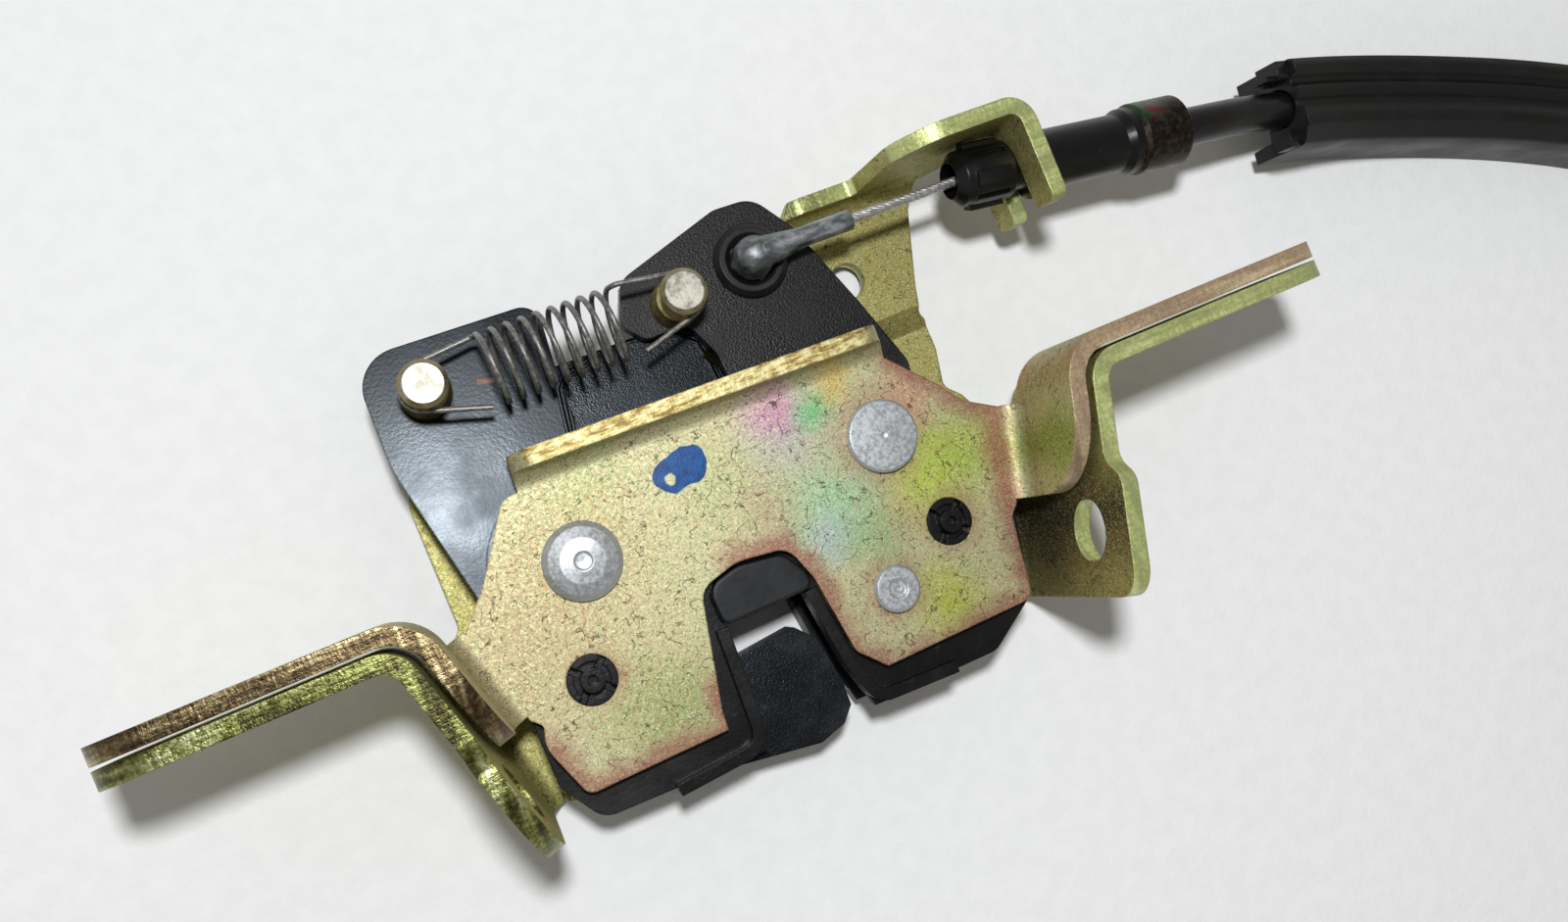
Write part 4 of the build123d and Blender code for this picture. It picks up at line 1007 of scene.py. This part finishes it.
ring = put(
    rope_tree,
    "GeometryNodeInstanceOnPoints",
    {
        "Points": seeds.outputs[0],
        "Instance": strand.outputs[0],
        "Rotation": roll.outputs[0],
    },
)
laid = put(rope_tree, "GeometryNodeRealizeInstances", {0: ring.outputs[0]})
core_end = put(rope_tree, "ShaderNodeCombineXYZ", {0: given.outputs["Length"]})
core = put(rope_tree, "GeometryNodeCurvePrimitiveLine", {"End": core_end.outputs[0]})
joined = put(rope_tree, "GeometryNodeJoinGeometry", {0: laid.outputs[0]})
rope_tree.links.new(core.outputs[0], joined.inputs[0])
strand_ring = put(
    rope_tree, "GeometryNodeCurvePrimitiveCircle", {"Resolution": 8, "Radius": strand_r}
)
close_tree(rope_tree, given, end, joined.outputs[0], strand_ring.outputs[0])
print("rope tree nodes", len(rope_tree.nodes))


# %% The two lengths of bare wire
FAR_GAP, FAR_LENGTH = 3.0, 18.0


def along_axis(start, heading):
    """The place and turn of a piece whose own X axis runs from start along heading."""
    x = heading.normalized()
    y = Vector((0, 0, 1)).cross(x).normalized()
    turn = Matrix((x, y, x.cross(y))).transposed().to_4x4()
    return Matrix.Translation(start) @ turn


def rope(name, length, start, heading):
    """One straight length of wire rope, laid from eight strands."""
    sizes = {
        "Length": length,
        "Rope radius": 0.86 * MM,
        "Strand radius": 0.29 * MM,
        "Strands": 8,
        "Lay length": 8.5 * MM,
    }
    seed = bpy.data.meshes.new("seed")
    piece = bake(rope_tree, name, seed, sizes, along_axis(start, heading), strand_finish)
    smooth(piece)
    return piece


low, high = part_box("cable_wire")
wire_start = Vector((low.x, (low.y + high.y) / 2, (low.z + high.z) / 2))
near_wire = rope("wire_bare", high.x - low.x, wire_start, Vector((1, 0, 0)))
far_heading = (route[-1] - route[-2]).normalized()
far_start = route[-1] + far_heading * FAR_GAP * MM
far_wire = rope("wire_far", FAR_LENGTH * MM, far_start, far_heading)

# %% [markdown]
# ## The rubber sleeve
# The sleeve is an extruded rubber channel with ribs, clipped over the sheath and cut in steps at
# its end. An extrusion is a profile swept along a line, so its profile is drawn once in code, as
# width and height, and a tree sweeps it along the sheath's own smooth line. The steps are two
# narrower profiles that start a little earlier.

# %% The sleeve's profiles
CHANNEL = [
    (8.0, -7.9), (8.1, 4.9), (7.8, 5.7), (5.1, 6.1), (4.8, 4.2), (2.9, 4.2), (2.75, 5.5),
    (1.9, 5.6), (1.7, 4.9), (0.6, 4.9), (0.4, 4.25), (-1.2, 4.25), (-1.4, 5.8), (-4.9, 5.9),
    (-5.3, 5.2), (-7.7, 4.0), (-8.1, 3.2), (-8.0, -7.9), (-5.6, -7.9), (-5.2, -3.4),
]
BORE_R = 3.8
bore = [math.radians(a) for a in range(234, -55, -18)]
CHANNEL += [(BORE_R * math.cos(a), BORE_R * math.sin(a)) for a in bore]
CHANNEL += [(5.2, -3.4), (5.6, -7.9)]
FLANGES = [
    [(8.0, -0.5), (8.0, 4.4), (4.6, 4.4), (4.6, -0.5)],
    [(-4.9, -0.5), (-4.9, 3.4), (-8.0, 3.0), (-8.0, -0.5)],
]
TONGUE = [(5.6, 0.6), (5.6, 3.4), (4.7, 3.4), (4.7, 0.6)]


def profile_object(name, loops):
    """Closed loops of edges as an object that a tree can read."""
    points, pairs = [], []
    for loop in loops:
        first = len(points)
        points += [(-x * MM, -y * MM, 0) for x, y in loop]
        pairs += [(first + i, first + (i + 1) % len(loop)) for i in range(len(loop))]
    mesh = bpy.data.meshes.new(name)
    mesh.from_pydata(points, pairs, [])
    shape = bpy.data.objects.new(name, mesh)
    bpy.context.scene.collection.objects.link(shape)
    return shape


channel = profile_object("channel_profile", [CHANNEL])
flanges = profile_object("flange_profile", FLANGES)
tongue = profile_object("tongue_profile", [TONGUE])
print("channel corners", len(CHANNEL))

# %% The sleeve's tree
sleeve_tree, given, end = new_tree(
    "ribbed_sleeve",
    {
        "Profile": "Object",
        "From": "Float",
        "To": "Float",
        "Spacing": "Float",
    },
)
path = put(sleeve_tree, "GeometryNodeMeshToCurve", {0: given.outputs["Geometry"]})
part = put(
    sleeve_tree,
    "GeometryNodeTrimCurve",
    {0: path.outputs[0], 4: given.outputs["From"], 5: given.outputs["To"]},
    mode="LENGTH",
)
even = put(
    sleeve_tree,
    "GeometryNodeResampleCurve",
    {0: part.outputs[0], "Length": given.outputs["Spacing"]},
    mode="LENGTH",
)
upright = put(sleeve_tree, "GeometryNodeSetCurveNormal", {0: even.outputs[0]}, mode="Z_UP")
shape = put(sleeve_tree, "GeometryNodeObjectInfo", {0: given.outputs["Profile"]})
loops = put(sleeve_tree, "GeometryNodeMeshToCurve", {0: shape.outputs["Geometry"]})
close_tree(sleeve_tree, given, end, upright.outputs[0], loops.outputs[0])
print("sleeve tree nodes", len(sleeve_tree.nodes))

# %% The sleeve in its place
SLEEVE_FROM = Vector((124.15, 28.4, 13.5)) * MM
SLEEVE_TO = Vector((217.2, -4.6, 7.4)) * MM
STEP_RUN, STEP_LAP, FLANGE_LEAD = 2.6 * MM, 3.0 * MM, 0.3 * MM
sleeve_start = travelled_to(SLEEVE_FROM)
sleeve_end = travelled_to(SLEEVE_TO)
steps_end = sleeve_start + STEP_LAP


def sleeve_part(name, profile, start, finish_at):
    """One profile swept over a part of the sheath's line."""
    sizes = {"Profile": profile, "From": start, "To": finish_at, "Spacing": 2.0 * MM}
    return bake(sleeve_tree, name, line_mesh.copy(), sizes, Matrix.Identity(4), sleeve_finish)


sleeve_parts = [
    sleeve_part("sleeve_ribbed", channel, sleeve_start + STEP_RUN, sleeve_end),
    sleeve_part("sleeve_steps", flanges, sleeve_start - FLANGE_LEAD, steps_end),
    sleeve_part("sleeve_tongue", tongue, sleeve_start - STEP_RUN, steps_end),
]
for shape in (channel, flanges, tongue):
    bpy.data.objects.remove(shape)
print("sleeve from", round(sleeve_start, 4), "to", round(sleeve_end, 4))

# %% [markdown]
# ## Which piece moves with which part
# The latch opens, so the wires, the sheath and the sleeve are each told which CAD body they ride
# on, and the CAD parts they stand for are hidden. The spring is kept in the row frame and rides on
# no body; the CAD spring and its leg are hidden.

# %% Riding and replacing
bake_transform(spring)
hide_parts("tension_spring", "spring_pawl_leg")
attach(near_wire, "cable_body")
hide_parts("cable_wire")
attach(far_wire, "far_body")
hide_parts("far_wire")
for piece in sleeve_parts:
    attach(piece, "frame")
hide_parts("sleeve")
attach(sheath, "frame")
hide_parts("conduit")
on_cord = [*sleeve_parts, far_wire]
on_cord += [nodes[n] for n in ("far_ferrule", "far_fitting", "far_nipple")]
print("pieces on the cord", len(on_cord))

# %% [markdown]
# ## Floor and light
# The latch lies on a white table under one small lamp, 30 cm up and a little above the camera. The
# shadows of the two wings lean away from each other, which gives the lamp's place. Its falloff is
# made even, so that the table stays pale out to the cable. A dim sky, brighter near the horizon as
# in a room with windows, fills the shadows and gives the metal something to mirror.

# %% The floor
FLOOR_DROP = 0.3 * MM
bpy.ops.mesh.primitive_plane_add(size=3, location=(0, 0, -FLOOR_DROP))
floor = bpy.context.object
floor.name = "table"
table_finish, tree, shader, where = blank_finish("table_white", 0.0, 0.95, 0.05)
shade = ramp(tree, noise(tree, where, 260.0), 0.3, 0.7)
drive(tree, shader, Base_Color=toned(tree, shade, screen(238, 240, 241), (242, 244, 245)))
relief(tree, shader, noise(tree, where, 900.0, 2.0), 0.08 * MM)
dress(floor, table_finish)
print("table ready")

# %% The light
LAMP_AT = Vector((-31, 68, 306)) * MM
HORIZON = (0.45, 0.42, 0.38, 1)
ZENITH = (0.155, 0.15, 0.142, 1)
lamp = bpy.data.lights.new("lamp", "POINT")
lamp.shadow_soft_size = 17 * MM
lamp.energy = 31.0
lamp.color = (0.985, 0.99, 1.0)
lamp.use_nodes = True
bulb = lamp.node_tree
even = put(bulb, "ShaderNodeLightFalloff", {"Strength": 1.0}).outputs["Constant"]
bulb.links.new(even, bulb.nodes["Emission"].inputs["Strength"])
lamp_stand = bpy.data.objects.new("lamp", lamp)
bpy.context.scene.collection.objects.link(lamp_stand)
lamp_stand.location = LAMP_AT
world = bpy.data.worlds.new("room")
bpy.context.scene.world = world
world.use_nodes = True
sky = world.node_tree
heading = put(sky, "ShaderNodeTexCoord").outputs["Generated"]
rise = ramp(sky, axis_of(sky, heading, 2), 0.0, 1.0)
glow = blend_colours(sky, rise, HORIZON, ZENITH)
sky.links.new(glow, sky.nodes["Background"].inputs[0])
print("lamp at", tuple(round(c, 3) for c in lamp_stand.location))

# %% The view transform, and the end
bpy.context.scene.view_settings.view_transform = "Standard"
